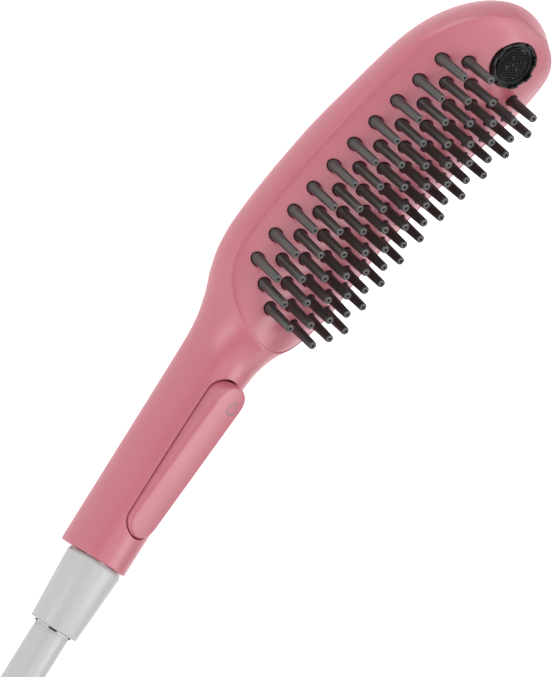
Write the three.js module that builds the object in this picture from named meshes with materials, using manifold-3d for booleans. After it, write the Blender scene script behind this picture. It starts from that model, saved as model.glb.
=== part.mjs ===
// Pet hand shower: a brush-shaped head with a dished spray face, soft nozzles and an aerator,
// a grip with a pause lever, and a hose that screws on with a conical nut.
// Millimetres, +Z up. The shower lies on its back, with its head towards +X.
import * as THREE from 'three';
import { mergeVertices } from 'three/addons/utils/BufferGeometryUtils.js';
import Module from 'manifold-3d';

const wasm = await Module();
wasm.setup();

// Clearances and walls
const gap = 0.3; // between pieces that touch
const overrun = 3; // how far a cutter runs past what it cuts
const wall = 2.6; // body shell
const endWall = 3; // body shell, at its hose end

// Grip, measured from the hose axis at the grip's hose end
const gripLength = 107; // to the low end of the spray face
const gripHalfWidth = 14.3;
const gripCrest = 13; // hose axis up to the front of the grip
const gripBack = 18.2; // hose axis down to the back of the grip
const gripDrop = (gripBack - gripCrest) / 2;

// Head
const headLean = THREE.MathUtils.degToRad(13.54); // nozzles lean back towards the hand
const headHalfWidth = 32.5;
const headRise = 48; // hose axis up to the middle of the tip
const faceRise = 18.9; // hose axis up to the low end of the face
const tipOverhang = 8.7; // tip end of the face to the tip, along the hose axis

// Spray face, in the head's own frame: X along the face, Z along the nozzles
const faceHalfWidth = 30.8;
const faceTail = 77; // field centre to the face's low end
const faceTip = 87.5; // field centre to the face's tip end
const tailRound = 31; // length over which the low end narrows
const tipRound = 48.2; // length over which the tip end narrows
const tailPower = 2.1;
const tipPower = 3.5;
const faceGauge = 50; // length over which the next three rises are measured
const faceSlope = 3.04;
const faceDish = 4.15;
const faceFade = 0.86;
const crownGauge = 20; // half width over which the crown's drop is measured
const crownDrop = 4.74;
const tailFold = 1.6; // extra drop of the crown over one crown gauge past the next place
const tailFoldStart = 45;
const rimLand = 0.6; // shell left standing round the face plate
const plateWall = 2.4;

// Nozzles and their mat
const nozzlePitch = 12;
const columnPitch = 7.56;
const nozzleLength = 17.3; // face to tip
const nozzleRootRadius = 2.45;
const nozzleStemRadius = 2.15;
const nozzleTipRadius = 1.75;
const nozzleEndRadius = 1.5;
const nozzleRoot = 1.6; // length of the flared root
const nozzleChamfer = 0.5;
const orificeRadius = 0.45;
const nozzleBoreRadius = 0.9;
const nozzleSides = 7;
const boreSides = 5;
const matWall = 2;
const matInset = 3.6; // face outline to mat outline
// Columns out from the middle: how many nozzles each has, and its first one as a share of the pitch
const columnCounts = [10, 11, 11, 10];
const columnStartShares = [-4.75, -5.25, -4.75, -4.25];
const fieldShare = 5.5; // middle of the field to its end, as a share of the pitch

// Spray chamber behind the mat
const chamberInset = 4;
const chamberDepth = 8.5;
const chamberWall = 1.6;
const chamberPort = 8; // length of the water port that stands out of the low end
const portRadius = 4;
const portBore = 2.6;
const portDepth = 9.9; // port axis below the face

// Aerator
const aeratorFromTip = 13.6; // tip end of the face back to the aerator
const aeratorStation = faceTip - aeratorFromTip; // field centre to aerator centre
const aeratorRadius = 10;
const aeratorWall = 0.9;
const aeratorRise = 0.7; // face to the top of the castellated ring, at its middle
const aeratorFlange = 3; // height of the castellated ring
const aeratorSkirtRadius = 7.9;
const aeratorSkirt = 5.3;
const aeratorLedge = 0.8;
const keyCount = 8;
const keyDepth = 1.1;
const meshRadius = 7;
const meshWall = 0.8;
const meshRings = 3;
const meshPitch = 2;
const meshHole = 0.78;

// Lever and its slot in the grip
const slotStart = 15;
const slotFromFace = 17.55; // low end of the face back to the slot
const slotEnd = gripLength - slotFromFace;
const slotHalfWidth = 7.7;
const leverSide = 0.4; // visible gap between lever and slot
const leverHeight = 10;
const leverRise = 13.9; // hose axis up to the lever's top, over its pin
const leverSlope = THREE.MathUtils.degToRad(5.87);
const leverRound = 1.4; // rounding of the top edge
const leverDraft = 0.9; // how far the head end leans back, so that it clears the slot when pressed
const leverWall = 1.9;
const leverRoof = 2.4;
const pinStation = 21.6;
const pinHeight = 7.3;
const pinRadius = 1.25;
const pinSeat = 1.9; // pin length held in each side of the grip
const hubLength = 9;

// Pause valve under the lever
const valveFromFace = 51; // low end of the face back to the valve
const valveStation = gripLength - valveFromFace;
const barrelRadius = 6.5;
const barrelTop = 2.5;
const barrelBottom = 13.2;
const seatDrop = 6.3; // hose axis down to the valve seat
const seatThickness = 1.7;
const seatRadius = 3;
const chamberRadius = 4.8;
const outletChamberRadius = 4.2;
const outletRoof = 0.8;
const stemRadius = 1.9;
const ribReach = 1.64; // underside of the lever's roof down to the stem
const stemTop = leverTopAt(valveStation) - leverRoof - ribReach;
const stemButton = 1.4;
const stemButtonRadius = 3.8;
const poppetRadius = 4;
const poppetThickness = 0.8;
const sealThickness = 0.9;
const plugThickness = 1.2;
const glandThickness = 2.4;
const glandRadius = 4.6;
const glandSeat = 1.7;
const ringWire = 0.5; // radius of the stem's O-ring section
const springWire = 0.4;
const springTurns = 4;
const armRadius = 4.4;
const armBore = 2.8;
const armDrop = 8.6; // inlet arm's fall to the valve
const armStart = 6;
const outletDrop = 2.9;
const outletFromFace = 23;
const outletEnd = gripLength - outletFromFace;
const pressRib = 3;

// Inlet connector, in the grip's hose end
const threadRadius = 10.4;
const threadLength = 10;
const tailRadius = 5.6;
const tailLength = 10.5;
const connectorBore = 3.4;
const socketRadius = 8;
const socketEnd = 12;
const grooveStart = 6.6;
const grooveWidth = 1.6;
const grooveDepth = 1.1;
const inletRingWire = 0.4;

// Hose, its nuts and fittings
const hoseRadius = 7.8;
const hoseBore = 4.5;
const hoseLength = 1500;
const nutStart = 0.9; // gap between grip and nut
const nutLength = 31.5;
const nutBigRadius = 12.3;
const nutSmallRadius = 10.6;
const nutMouth = 2.5; // length of hose inside the nut's small end
const nutChamfer = 0.8;
const washerThickness = 2;
const washerRadius = 9.7;
const washerBore = 6;
const filterThickness = 0.5;
const filterHole = 1.1;
const filterHoles = 6;
const ferruleFlange = 1.7;
const ferruleRadius = 8;
const hexAcross = 24;
const hexLength = 17;

// Hose lead, from the nut down to the table, and the hank that the rest is folded into
const leadLength = 112;
const leadStraight = 36; // as the nut leads it
const leadSettled = 10; // flat on the table, at its end
const leadSteps = 14;
const hoseSides = 10;
const hankRun = 114; // straight stretch between two folds
const foldRadius = 49;
const hankLevels = 2; // whole turns that lie on each other below the last part turn
const hankSides = 6;
const runSteps = 6;
const foldSteps = 8;
const climbStart = 68; // along the second run, where a turn starts to climb onto the next level
const climbEnd = 30; // before the turn is whole, where it has climbed
const tailLift = hexAcross / Math.sqrt(3) - hoseRadius; // the far nut turns clear of the run under it
const tieWall = 0.8;
const tieWidth = 12;
const tieSlack = 0.4;

const flatness = 0.01; // how far a face may move when corners that it doesn't need are left out
const tau = Math.PI * 2;
const roundSides = 20;
const smallSides = 14;

const colours = {
  pink: new THREE.MeshStandardMaterial({ color: 0xd98b97, roughness: 0.5, metalness: 0 }),
  silicone: new THREE.MeshStandardMaterial({ color: 0x5c5a58, roughness: 0.62, metalness: 0 }),
  black: new THREE.MeshStandardMaterial({ color: 0x2c2e2e, roughness: 0.4, metalness: 0 }),
  silver: new THREE.MeshStandardMaterial({ color: 0xd2d3d3, roughness: 0.45, metalness: 0 }),
  white: new THREE.MeshStandardMaterial({ color: 0xe6e6e2, roughness: 0.55, metalness: 0 }),
  steel: new THREE.MeshStandardMaterial({ color: 0xb9bcc0, roughness: 0.3, metalness: 1 }),
  rubber: new THREE.MeshStandardMaterial({ color: 0x242424, roughness: 0.8, metalness: 0 }),
};

// Solids from closed meshes

// Keeps only positions and makes shared corners one vertex
function merged(geometry) {
  const bare = new THREE.BufferGeometry();
  const source = geometry.index ? geometry.toNonIndexed() : geometry;
  bare.setAttribute('position', source.getAttribute('position').clone());
  return mergeVertices(bare, 1e-4);
}

// Turns every face outwards if the closed mesh is inside out
function outward(geometry) {
  const at = geometry.getAttribute('position');
  const order = geometry.index.array;
  const [a, b, c] = [new THREE.Vector3(), new THREE.Vector3(), new THREE.Vector3()];
  let volume = 0;
  for (let i = 0; i < order.length; i += 3) {
    a.fromBufferAttribute(at, order[i]);
    b.fromBufferAttribute(at, order[i + 1]);
    c.fromBufferAttribute(at, order[i + 2]);
    volume += a.dot(b.cross(c));
  }
  if (volume < 0) {
    for (let i = 0; i < order.length; i += 3) {
      [order[i], order[i + 1]] = [order[i + 1], order[i]];
    }
  }
  return geometry;
}

function solid(geometry) {
  const whole = outward(merged(geometry));
  const triangles = [];
  const order = whole.index.array;
  for (let i = 0; i < order.length; i += 3) {
    const [a, b, c] = [order[i], order[i + 1], order[i + 2]];
    if (a !== b && b !== c && c !== a) triangles.push(a, b, c);
  }
  const vertProperties = new Float32Array(whole.getAttribute('position').array);
  const triVerts = new Uint32Array(triangles);
  return new wasm.Manifold(new wasm.Mesh({ numProp: 3, vertProperties, triVerts }));
}

function geometryOf(body) {
  const mesh = body.asOriginal().simplify(flatness).getMesh();
  const geometry = new THREE.BufferGeometry();
  geometry.setAttribute('position', new THREE.BufferAttribute(new Float32Array(mesh.vertProperties), 3));
  geometry.setIndex(new THREE.BufferAttribute(new Uint32Array(mesh.triVerts), 1));
  return geometry;
}

function joined(...geometries) {
  return geometryOf(geometries.map(solid).reduce((whole, piece) => whole.add(piece)));
}

function cut(geometry, ...cutters) {
  return geometryOf(cutters.map(solid).reduce((rest, cutter) => rest.subtract(cutter), solid(geometry)));
}

// Skin over a row of rings with equal counts, with both ends closed
function loft(rings) {
  const count = rings[0].length;
  const points = rings.flat();
  const triangles = [];
  for (let i = 0; i + 1 < rings.length; i += 1) {
    for (let j = 0; j < count; j += 1) {
      const next = (j + 1) % count;
      const [a, b] = [i * count + j, i * count + next];
      const [c, d] = [a + count, b + count];
      triangles.push(a, b, c, b, d, c);
    }
  }
  for (const [ring, start] of [[rings[0], 0], [rings.at(-1), points.length - count]]) {
    const centre = points.length + (start ? 1 : 0);
    ring.centre = ring.reduce((sum, point) => sum.add(point), new THREE.Vector3()).divideScalar(count);
    for (let j = 0; j < count; j += 1) {
      const [a, b] = [start + j, start + ((j + 1) % count)];
      triangles.push(...(start ? [a, b, centre] : [b, a, centre]));
    }
  }
  points.push(rings[0].centre, rings.at(-1).centre);
  const geometry = new THREE.BufferGeometry().setFromPoints(points);
  geometry.setIndex(triangles);
  return geometryOf(solid(geometry));
}

// Round piece about the X axis from [along, radius] corners, closed on itself or ending on the axis
function turned(corners, sides = roundSides) {
  const profile = corners.map(([along, radius]) => new THREE.Vector2(radius, along));
  if (profile[0].x > 0) profile.push(profile[0].clone());
  const geometry = new THREE.LatheGeometry(profile, sides);
  geometry.rotateZ(-Math.PI / 2);
  return geometryOf(solid(geometry));
}

// The same about the Z axis
function turnedUp(corners, sides = roundSides) {
  return turned(corners, sides).rotateY(-Math.PI / 2);
}

function rod(from, to, radius, sides = roundSides) {
  return turned([[from, 0], [from, radius], [to, radius], [to, 0]], sides);
}

function sleeve(from, to, radius, bore, sides = roundSides) {
  return turned([[from, bore], [from, radius], [to, radius], [to, bore]], sides);
}

function oRing(along, ringRadius, wire, sides = roundSides) {
  const corners = [];
  const count = 6;
  for (let i = 0; i < count; i += 1) {
    const turn = (i / count) * tau;
    corners.push([along + wire * Math.sin(turn), ringRadius + wire * Math.cos(turn)]);
  }
  return turned(corners, sides);
}

// Outline with two straight sides and round ends
function stadium(from, to, halfWidth) {
  const outline = [];
  const steps = 8;
  for (const [centre, start] of [[to - halfWidth, -Math.PI / 2], [from + halfWidth, Math.PI / 2]]) {
    for (let i = 0; i <= steps; i += 1) {
      const turn = start + (Math.PI * i) / steps;
      outline.push(new THREE.Vector2(centre + halfWidth * Math.cos(turn), halfWidth * Math.sin(turn)));
    }
  }
  return outline;
}

// Tube swept along points, its section turned so that a corner points down
function sweep(points, radius, sides) {
  const rings = points.map((point, i) => {
    const before = points[Math.max(i - 1, 0)];
    const after = points[Math.min(i + 1, points.length - 1)];
    const ahead = after.clone().sub(before).normalize();
    const side = new THREE.Vector3().crossVectors(ahead, new THREE.Vector3(0, 0, 1)).normalize();
    const up = new THREE.Vector3().crossVectors(side, ahead);
    return Array.from({ length: sides }, (_, j) => {
      const turn = (j / sides) * tau - Math.PI / 2;
      const place = point.clone().addScaledVector(side, radius * Math.cos(turn));
      return place.addScaledVector(up, radius * Math.sin(turn));
    });
  });
  return loft(rings);
}

function pipe(points, radius, sides, steps) {
  const path = new THREE.CatmullRomCurve3(points);
  const section = new THREE.Shape();
  section.absarc(0, 0, radius, 0, tau, false);
  const options = { steps, extrudePath: path, bevelEnabled: false, curveSegments: sides / 2 };
  return new THREE.ExtrudeGeometry(section, options);
}

// Smooth curve through [place, value] pairs that never overshoots them
function smooth(pairs) {
  const slopes = pairs.slice(1).map(([x, y], i) => (y - pairs[i][1]) / (x - pairs[i][0]));
  const tangents = pairs.map((_, i) => {
    const [left, right] = [slopes[i - 1], slopes[i]];
    if (left === undefined) return right;
    if (right === undefined) return left;
    return left * right <= 0 ? 0 : (2 * left * right) / (left + right);
  });
  return (x) => {
    const place = THREE.MathUtils.clamp(x, pairs[0][0], pairs.at(-1)[0]);
    const i = Math.min(pairs.findIndex(([end]) => end > place), pairs.length - 1) - 1;
    const from = i < 0 ? pairs.length - 2 : i;
    const span = pairs[from + 1][0] - pairs[from][0];
    const t = (place - pairs[from][0]) / span;
    const rise = pairs[from + 1][1] - pairs[from][1];
    const ease = t * t * (3 - 2 * t);
    const bend = t * (1 - t) * span * (tangents[from] * (1 - t) - tangents[from + 1] * t);
    return pairs[from][1] + rise * ease + bend;
  };
}

// Spray face

function faceHeight(x, y) {
  const u = x / faceGauge;
  const v = y / crownGauge;
  const fold = Math.max(0, -(x + tailFoldStart) / crownGauge);
  const crown = (crownDrop + tailFold * fold * fold) * v * v;
  return u * (faceSlope + u * (faceDish - u * faceFade)) - crown - nozzleLength;
}

function faceWidthAt(x, inset) {
  const past = x < 0 ? faceTail - tailRound + x : x - faceTip + tipRound;
  const share = x < 0
    ? Math.max(0, -(x + faceTail - tailRound) / (tailRound - inset))
    : Math.max(0, past / (tipRound - inset));
  const power = x < 0 ? tailPower : tipPower;
  return (faceHalfWidth - inset) * Math.max(0, 1 - share ** power) ** (1 / power);
}

// Places along the face: between the rows of nozzles, and closer together where its ends turn round
function faceStations(inset) {
  const places = [];
  const field = nozzlePitch * fieldShare;
  const endSteps = 5;
  for (let i = 0; i < endSteps; i += 1) {
    places.push(-field - (faceTail - inset - field) * Math.cos((i / endSteps) * (Math.PI / 2)));
  }
  for (let x = -field; x <= field; x += nozzlePitch / 2) places.push(x);
  for (let i = 1; i <= endSteps; i += 1) {
    places.push(field + (faceTip - inset - field) * Math.sin((i / endSteps) * (Math.PI / 2)));
  }
  return places;
}

// Layer between two depths below the face; seams lie between the columns of nozzles
function faceLayer(inset, top, bottom, seams = columnCounts.length) {
  const rings = faceStations(inset).map((x) => {
    const halfWidth = faceWidthAt(x, inset);
    const ring = [];
    for (const [depth, direction] of [[top, 1], [bottom, -1]]) {
      const across = [halfWidth];
      for (let i = seams; i > -seams; i -= 1) {
        across.push(THREE.MathUtils.clamp((i - 1 / 2) * columnPitch, -halfWidth, halfWidth));
      }
      across.push(-halfWidth);
      for (const y of across) ring.push(new THREE.Vector3(x, y * direction, faceHeight(x, y) - depth));
    }
    return ring;
  });
  return loft(rings);
}

// The head's frame in the grip's frame: the face's low end meets the front of the grip
const tailHeight = faceHeight(-faceTail, 0);
const headX = gripLength + faceTail * Math.cos(headLean) + tailHeight * Math.sin(headLean);
const headZ = faceRise + faceTail * Math.sin(headLean) - tailHeight * Math.cos(headLean);
const headPlace = new THREE.Matrix4().makeRotationY(-headLean).setPosition(headX, 0, headZ);
const tipHeight = faceHeight(faceTip, 0);
const faceEndX = headX + faceTip * Math.cos(headLean) - tipHeight * Math.sin(headLean);
const tipX = faceEndX + tipOverhang;
const headReach = tipX - gripLength;

// A point of the face at a place along the hose axis, in the grip's frame
function facePoint(x, yAt, depth) {
  let along = (x - headX) / Math.cos(headLean);
  let height = 0;
  for (let i = 0; i < 12; i += 1) {
    height = faceHeight(along, yAt(along)) - depth;
    along = (x - headX + height * Math.sin(headLean)) / Math.cos(headLean);
  }
  return new THREE.Vector3(x, yAt(along), height * Math.cos(headLean) + along * Math.sin(headLean) + headZ);
}

// Body outline: grip rows are shares of the grip's sizes, head rows shares of the head's
const widthGripShares = [[0, 1], [0.785, 1.028], [0.879, 1.049], [0.972, 1.161]];
const widthHeadShares = [[0.042, 0.64], [0.101, 0.831], [0.16, 0.954], [0.226, 0.997], [0.487, 1], [0.695, 1.025]];
const backGripShares = [[0, -1], [0.879, -1.011]];
const backHeadShares = [[0.071, -0.39], [0.249, -0.377], [0.487, -0.23], [0.665, 0.016], [0.843, 0.267], [1, 0.627]];
const middleGripShares = [[0, -1], [0.813, -0.893], [0.981, -0.179]];
const middleHeadShares = [[0.232, 0.1], [0.475, 0.2875], [0.808, 0.7375], [1, 1]];
const crestShares = [[0, 1], [0.6, 1.035], [0.785, 1.085], [0.888, 1.145], [0.953, 1.27]];
const widthRoundShare = 0.635; // where the width starts to close towards the tip
const backRoundShare = 0.695;
const widthPower = 2.87;
const backPower = 2.42;
const outsideSteps = 5; // steps of each quarter of the outline
const insideSteps = 4;

function bodyProfile(gripShares, gripUnit, headShares, headUnit) {
  const grip = gripShares.map(([along, value]) => [along * gripLength, value * gripUnit]);
  const head = headShares.map(([along, value]) => [gripLength + along * headReach, value * headUnit]);
  return smooth([...grip, ...head]);
}

const widthProfile = bodyProfile(widthGripShares, gripHalfWidth, widthHeadShares, headHalfWidth);
const backProfile = bodyProfile(backGripShares, gripBack, backHeadShares, headRise);
const middleProfile = bodyProfile(middleGripShares, gripDrop, middleHeadShares, headRise);

// How far an end that closes at the tip is still open: 1 before it starts, 0 at the tip
function openAt(x, startShare, power, end) {
  const start = gripLength + startShare * headReach;
  const share = THREE.MathUtils.clamp((x - start) / (end - start), 0, 1);
  return (1 - share ** power) ** (1 / power);
}

// The section's ring at x: an oval that the spray face cuts. Inset 0 is the outside.
function bodySection(x, inset, faceDepth, steps) {
  const end = tipX - inset;
  const middle = middleProfile(x);
  let halfWidth = (widthProfile(x) - inset) * openAt(x, widthRoundShare, widthPower, end);
  const back = middle + (backProfile(x) + inset - middle) * openAt(x, backRoundShare, backPower, end);
  const tail = facePoint(gripLength, () => 0, 0).x + inset;
  const lowEnd = facePoint(tail, () => 0, faceDepth);
  const highEndHeight = faceHeight(faceTip - inset, 0) - faceDepth;
  const highEndX = headX + (faceTip - inset) * Math.cos(headLean) - highEndHeight * Math.sin(headLean);
  const highEndZ = headZ + (faceTip - inset) * Math.sin(headLean) + highEndHeight * Math.cos(headLean);
  const faceEdge = (along) => faceWidthAt(along, inset);
  const crestRows = crestShares.map(([along, value]) => [along * gripLength, value * gripCrest - inset]);
  const crestProfile = smooth([...crestRows, [tail, lowEnd.z]]);

  const crown = [];
  const crownSteps = 4;
  let edge = 0;
  let rise = 0;
  if (x > tail && x < highEndX) {
    const crease = facePoint(x, faceEdge, faceDepth);
    edge = crease.y;
    halfWidth = Math.max(halfWidth, edge * 1.01);
    rise = (crease.z - middle) / Math.sqrt(1 - (edge / halfWidth) ** 2);
    for (let i = 0; i <= crownSteps; i += 1) {
      crown.push(facePoint(x, () => edge * (1 - (2 * i) / crownSteps), faceDepth));
    }
  } else {
    const share = THREE.MathUtils.clamp((x - highEndX) / (end - highEndX), 0, 1);
    const tipRise = (highEndZ - middle) * Math.sqrt(1 - share * share);
    rise = x <= tail ? crestProfile(x) - middle : tipRise;
    for (let i = 0; i <= crownSteps; i += 1) crown.push(new THREE.Vector3(x, 0, middle + rise));
  }

  const start = halfWidth > 0 ? Math.asin(edge / halfWidth) : 0;
  const side = [];
  for (let i = 1; i <= steps; i += 1) {
    const turn = start + (Math.PI / 2 - start) * (i / steps);
    side.push(new THREE.Vector3(x, -halfWidth * Math.sin(turn), middle + rise * Math.cos(turn)));
  }
  for (let i = 1; i <= steps; i += 1) {
    const turn = (Math.PI / 2) * (i / steps);
    side.push(new THREE.Vector3(x, -halfWidth * Math.cos(turn), middle - (middle - back) * Math.sin(turn)));
  }
  const other = side.slice(0, -1).reverse().map((point) => new THREE.Vector3(x, -point.y, point.z));
  return [...crown, ...side, ...other];
}

// Places along the body, closer together at the neck and round the tip
function bodyStations(from, inset, steps) {
  const end = tipX - inset;
  const places = [];
  const gripSteps = steps - 2;
  const neckStart = gripLength * 0.785;
  const neckEnd = gripLength + headReach * 0.226;
  const neckSteps = steps * 2;
  const roundStart = gripLength + headReach * widthRoundShare;
  const headSteps = steps;
  const roundSteps = steps * 2;
  for (let i = 0; i < gripSteps; i += 1) places.push(from + ((neckStart - from) * i) / gripSteps);
  for (let i = 0; i < neckSteps; i += 1) places.push(neckStart + ((neckEnd - neckStart) * i) / neckSteps);
  for (let i = 0; i < headSteps; i += 1) places.push(neckEnd + ((roundStart - neckEnd) * i) / headSteps);
  for (let i = 0; i <= roundSteps; i += 1) {
    places.push(roundStart + (end - roundStart) * Math.sin((i / roundSteps) * (Math.PI / 2)));
  }
  return places;
}

function bodyForm(from, inset, faceDepth, steps) {
  return loft(bodyStations(from, inset, steps).map((x) => bodySection(x, inset, faceDepth, steps)));
}

// Height of the grip's front and of its outside at a distance from the middle
const slotFloor = pinHeight - pinRadius - leverHeight / 4;

function slotCutter() {
  const outline = stadium(slotStart, slotEnd, slotHalfWidth);
  const rings = [slotFloor, gripCrest * 2].map((z) => outline.map(({ x, y }) => new THREE.Vector3(x, y, z)));
  return loft(rings);
}

function bodyShell() {
  const cavity = bodyForm(endWall, wall, plateWall + gap, insideSteps);
  const pocket = faceLayer(rimLand, -faceHalfWidth, plateWall + gap, 0).applyMatrix4(headPlace);
  const inletHole = rod(-overrun, endWall + overrun, tailRadius + gap);
  const pinBore = rod(-slotHalfWidth - pinSeat - gap, slotHalfWidth + pinSeat + gap, pinRadius + gap, smallSides);
  pinBore.rotateZ(Math.PI / 2).translate(pinStation, 0, pinHeight);
  return cut(bodyForm(0, 0, 0, outsideSteps), cavity, pocket, inletHole, slotCutter(), pinBore);
}

// Nozzle places in the head's frame
function nozzlePlaces() {
  const places = [];
  columnCounts.forEach((count, column) => {
    for (let i = 0; i < count; i += 1) {
      const x = (columnStartShares[column] + i) * nozzlePitch;
      places.push([x, column * columnPitch]);
      if (column > 0) places.push([x, -column * columnPitch]);
    }
  });
  return places;
}

// The aerator stands as the nozzles do
const aeratorHeight = faceHeight(aeratorStation, 0) + aeratorRise;
const aeratorPlace = new THREE.Matrix4().makeTranslation(aeratorStation, 0, aeratorHeight);

function uprightRod(x, y, from, to, radius, sides, taper = radius) {
  const round = turnedUp([[from, 0], [from, radius], [to, taper], [to, 0]], sides);
  return round.translate(x, y, 0);
}

function facePlate() {
  const plate = faceLayer(rimLand + gap, 0, plateWall);
  const holes = nozzlePlaces().map(([x, y]) => {
    const z = faceHeight(x, y);
    const radius = nozzleRootRadius + gap;
    return uprightRod(x, y, z - plateWall - overrun, z + overrun, radius, nozzleSides);
  });
  const aeratorHole = uprightRod(0, 0, -overrun * 3, overrun * 2, aeratorRadius + gap, roundSides);
  return cut(plate, ...holes, aeratorHole.applyMatrix4(aeratorPlace));
}

// One nozzle: it tapers from its root in the mat to a flat end with a small chamfer
function nozzle(x, y) {
  const face = faceHeight(x, y);
  const foot = face - plateWall - gap - matWall / 2;
  const tip = face + nozzleLength;
  const corners = [
    [foot, 0],
    [foot, nozzleRootRadius],
    [face + nozzleRoot, nozzleStemRadius],
    [tip - nozzleChamfer, nozzleTipRadius],
    [tip, nozzleEndRadius],
    [tip, 0],
  ];
  return turnedUp(corners, nozzleSides).translate(x, y, 0);
}

// Its bore, which narrows to the orifice
function nozzleBore(x, y) {
  const tip = faceHeight(x, y) + nozzleLength;
  const start = tip - nozzleLength - plateWall - matWall * 2;
  return uprightRod(x, y, start, tip + gap, nozzleBoreRadius, boreSides, orificeRadius);
}

function nozzleMat() {
  const top = plateWall + gap;
  const sheet = faceLayer(matInset, top, top + matWall);
  const aeratorHole = uprightRod(0, 0, -overrun * 4, overrun * 2, aeratorRadius + gap, roundSides);
  const places = nozzlePlaces();
  const mat = joined(cut(sheet, aeratorHole.applyMatrix4(aeratorPlace)), ...places.map(([x, y]) => nozzle(x, y)));
  return cut(mat, ...places.map(([x, y]) => nozzleBore(x, y)));
}

// Spray chamber: a tray that closes on the back of the mat, with its water port
const chamberTop = plateWall + matWall + gap * 3;
const portZ = faceHeight(-faceTail + chamberInset, 0) - portDepth;
const portStart = -faceTail + chamberInset - chamberPort;

function sprayChamber() {
  const tray = faceLayer(chamberInset, chamberTop, chamberTop + chamberDepth, 2);
  const floor = chamberTop + chamberDepth - chamberWall;
  const inside = faceLayer(chamberInset + chamberWall, chamberTop - overrun, floor, 2);
  const portEnd = portStart + chamberPort + chamberWall;
  const port = rod(portStart, portEnd, portRadius).translate(0, 0, portZ);
  const bore = rod(portStart - overrun, portEnd + overrun, portBore, smallSides).translate(0, 0, portZ);
  return cut(joined(tray, port), inside, bore);
}

// Aerator: a castellated ring with a skirt, and the mesh that drops into it
function aeratorRing() {
  const meshSeat = meshRadius + gap;
  const corners = [
    [-aeratorSkirt, meshSeat - aeratorLedge],
    [-aeratorSkirt, aeratorSkirtRadius],
    [-aeratorFlange, aeratorSkirtRadius],
    [-aeratorFlange, aeratorRadius],
    [0, aeratorRadius],
    [0, aeratorRadius - aeratorWall],
    [-keyDepth, aeratorRadius - aeratorWall],
    [-keyDepth, meshSeat],
    [-aeratorSkirt + aeratorLedge, meshSeat],
    [-aeratorSkirt + aeratorLedge, meshSeat - aeratorLedge],
  ];
  const ring = turnedUp(corners, keyCount * 4);
  const notches = [];
  for (let i = 0; i < keyCount; i += 1) {
    const notch = new THREE.BoxGeometry(aeratorWall * 3, aeratorRadius / 3, keyDepth + overrun);
    notch.translate(aeratorRadius, 0, (overrun - keyDepth) / 2 + gap / 2);
    notches.push(notch.rotateZ((i / keyCount) * tau + tau / keyCount / 2));
  }
  return cut(ring, ...notches);
}

function aeratorMesh() {
  const top = -keyDepth;
  const disc = turnedUp([[top - meshWall, 0], [top - meshWall, meshRadius], [top, meshRadius], [top, 0]]);
  const stemFoot = -aeratorSkirt + aeratorLedge + gap;
  const skirt = turnedUp([
    [stemFoot, meshRadius - meshWall],
    [stemFoot, meshRadius],
    [top, meshRadius],
    [top, meshRadius - meshWall],
  ]);
  const holes = [];
  for (let row = -meshRings; row <= meshRings; row += 1) {
    for (let step = -meshRings; step <= meshRings; step += 1) {
      if (Math.abs(row + step) > meshRings) continue;
      const x = meshPitch * (step + row / 2);
      const y = (meshPitch * row * Math.sqrt(3)) / 2;
      holes.push(uprightRod(x, y, top - meshWall - overrun, top + overrun, meshHole, 6));
    }
  }
  return cut(joined(disc, skirt), ...holes);
}

// Lever: a hollow bar with round ends, a sloping top, a hub for its pin and a rib that presses the stem
function leverTopAt(x) {
  return leverRise + (x - pinStation) * Math.tan(leverSlope);
}

function leverBar(inset, from, to, top, bottom, rounding) {
  const rows = [
    [0, bottom, 0.3],
    [0, rounding, 0.9],
    [rounding * 0.3, rounding * 0.3, 1],
    [rounding, 0, 1],
  ];
  const halfWidth = slotHalfWidth - leverSide - inset;
  const rings = rows.map(([side, depth, draftShare]) => {
    const outline = stadium(from + side, to - side - leverDraft * draftShare, halfWidth - side);
    return outline.map(({ x, y }) => new THREE.Vector3(x, y, leverTopAt(x) - top - depth));
  });
  return loft(rings);
}

function lever() {
  const from = slotStart + leverSide;
  const to = slotEnd - leverSide;
  const bar = leverBar(0, from, to, 0, leverHeight, leverRound);
  const hollowFrom = pinStation + hubLength / 2;
  const hollow = leverBar(leverWall, hollowFrom, to - leverWall, leverRoof, leverHeight + overrun, leverRound);
  const ribTop = leverTopAt(valveStation) - leverRoof + leverWall / 2;
  const ribFoot = stemTop + gap;
  const rib = new THREE.BoxGeometry(pressRib, (slotHalfWidth - leverWall) * 2, ribTop - ribFoot);
  rib.translate(valveStation, 0, (ribTop + ribFoot) / 2);
  const bore = rod(-slotHalfWidth - overrun, slotHalfWidth + overrun, pinRadius + gap, smallSides);
  bore.rotateZ(Math.PI / 2).translate(pinStation, 0, pinHeight);
  return cut(joined(cut(bar, hollow), rib), bore);
}

function leverPin() {
  const half = slotHalfWidth + pinSeat;
  return rod(-half, half, pinRadius, smallSides).rotateZ(Math.PI / 2).translate(pinStation, 0, pinHeight);
}

// Pause valve: water comes in below the seat, and the stem pushes the poppet down off it
function atValve(geometry) {
  return geometry.translate(valveStation, 0, 0);
}

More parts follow.
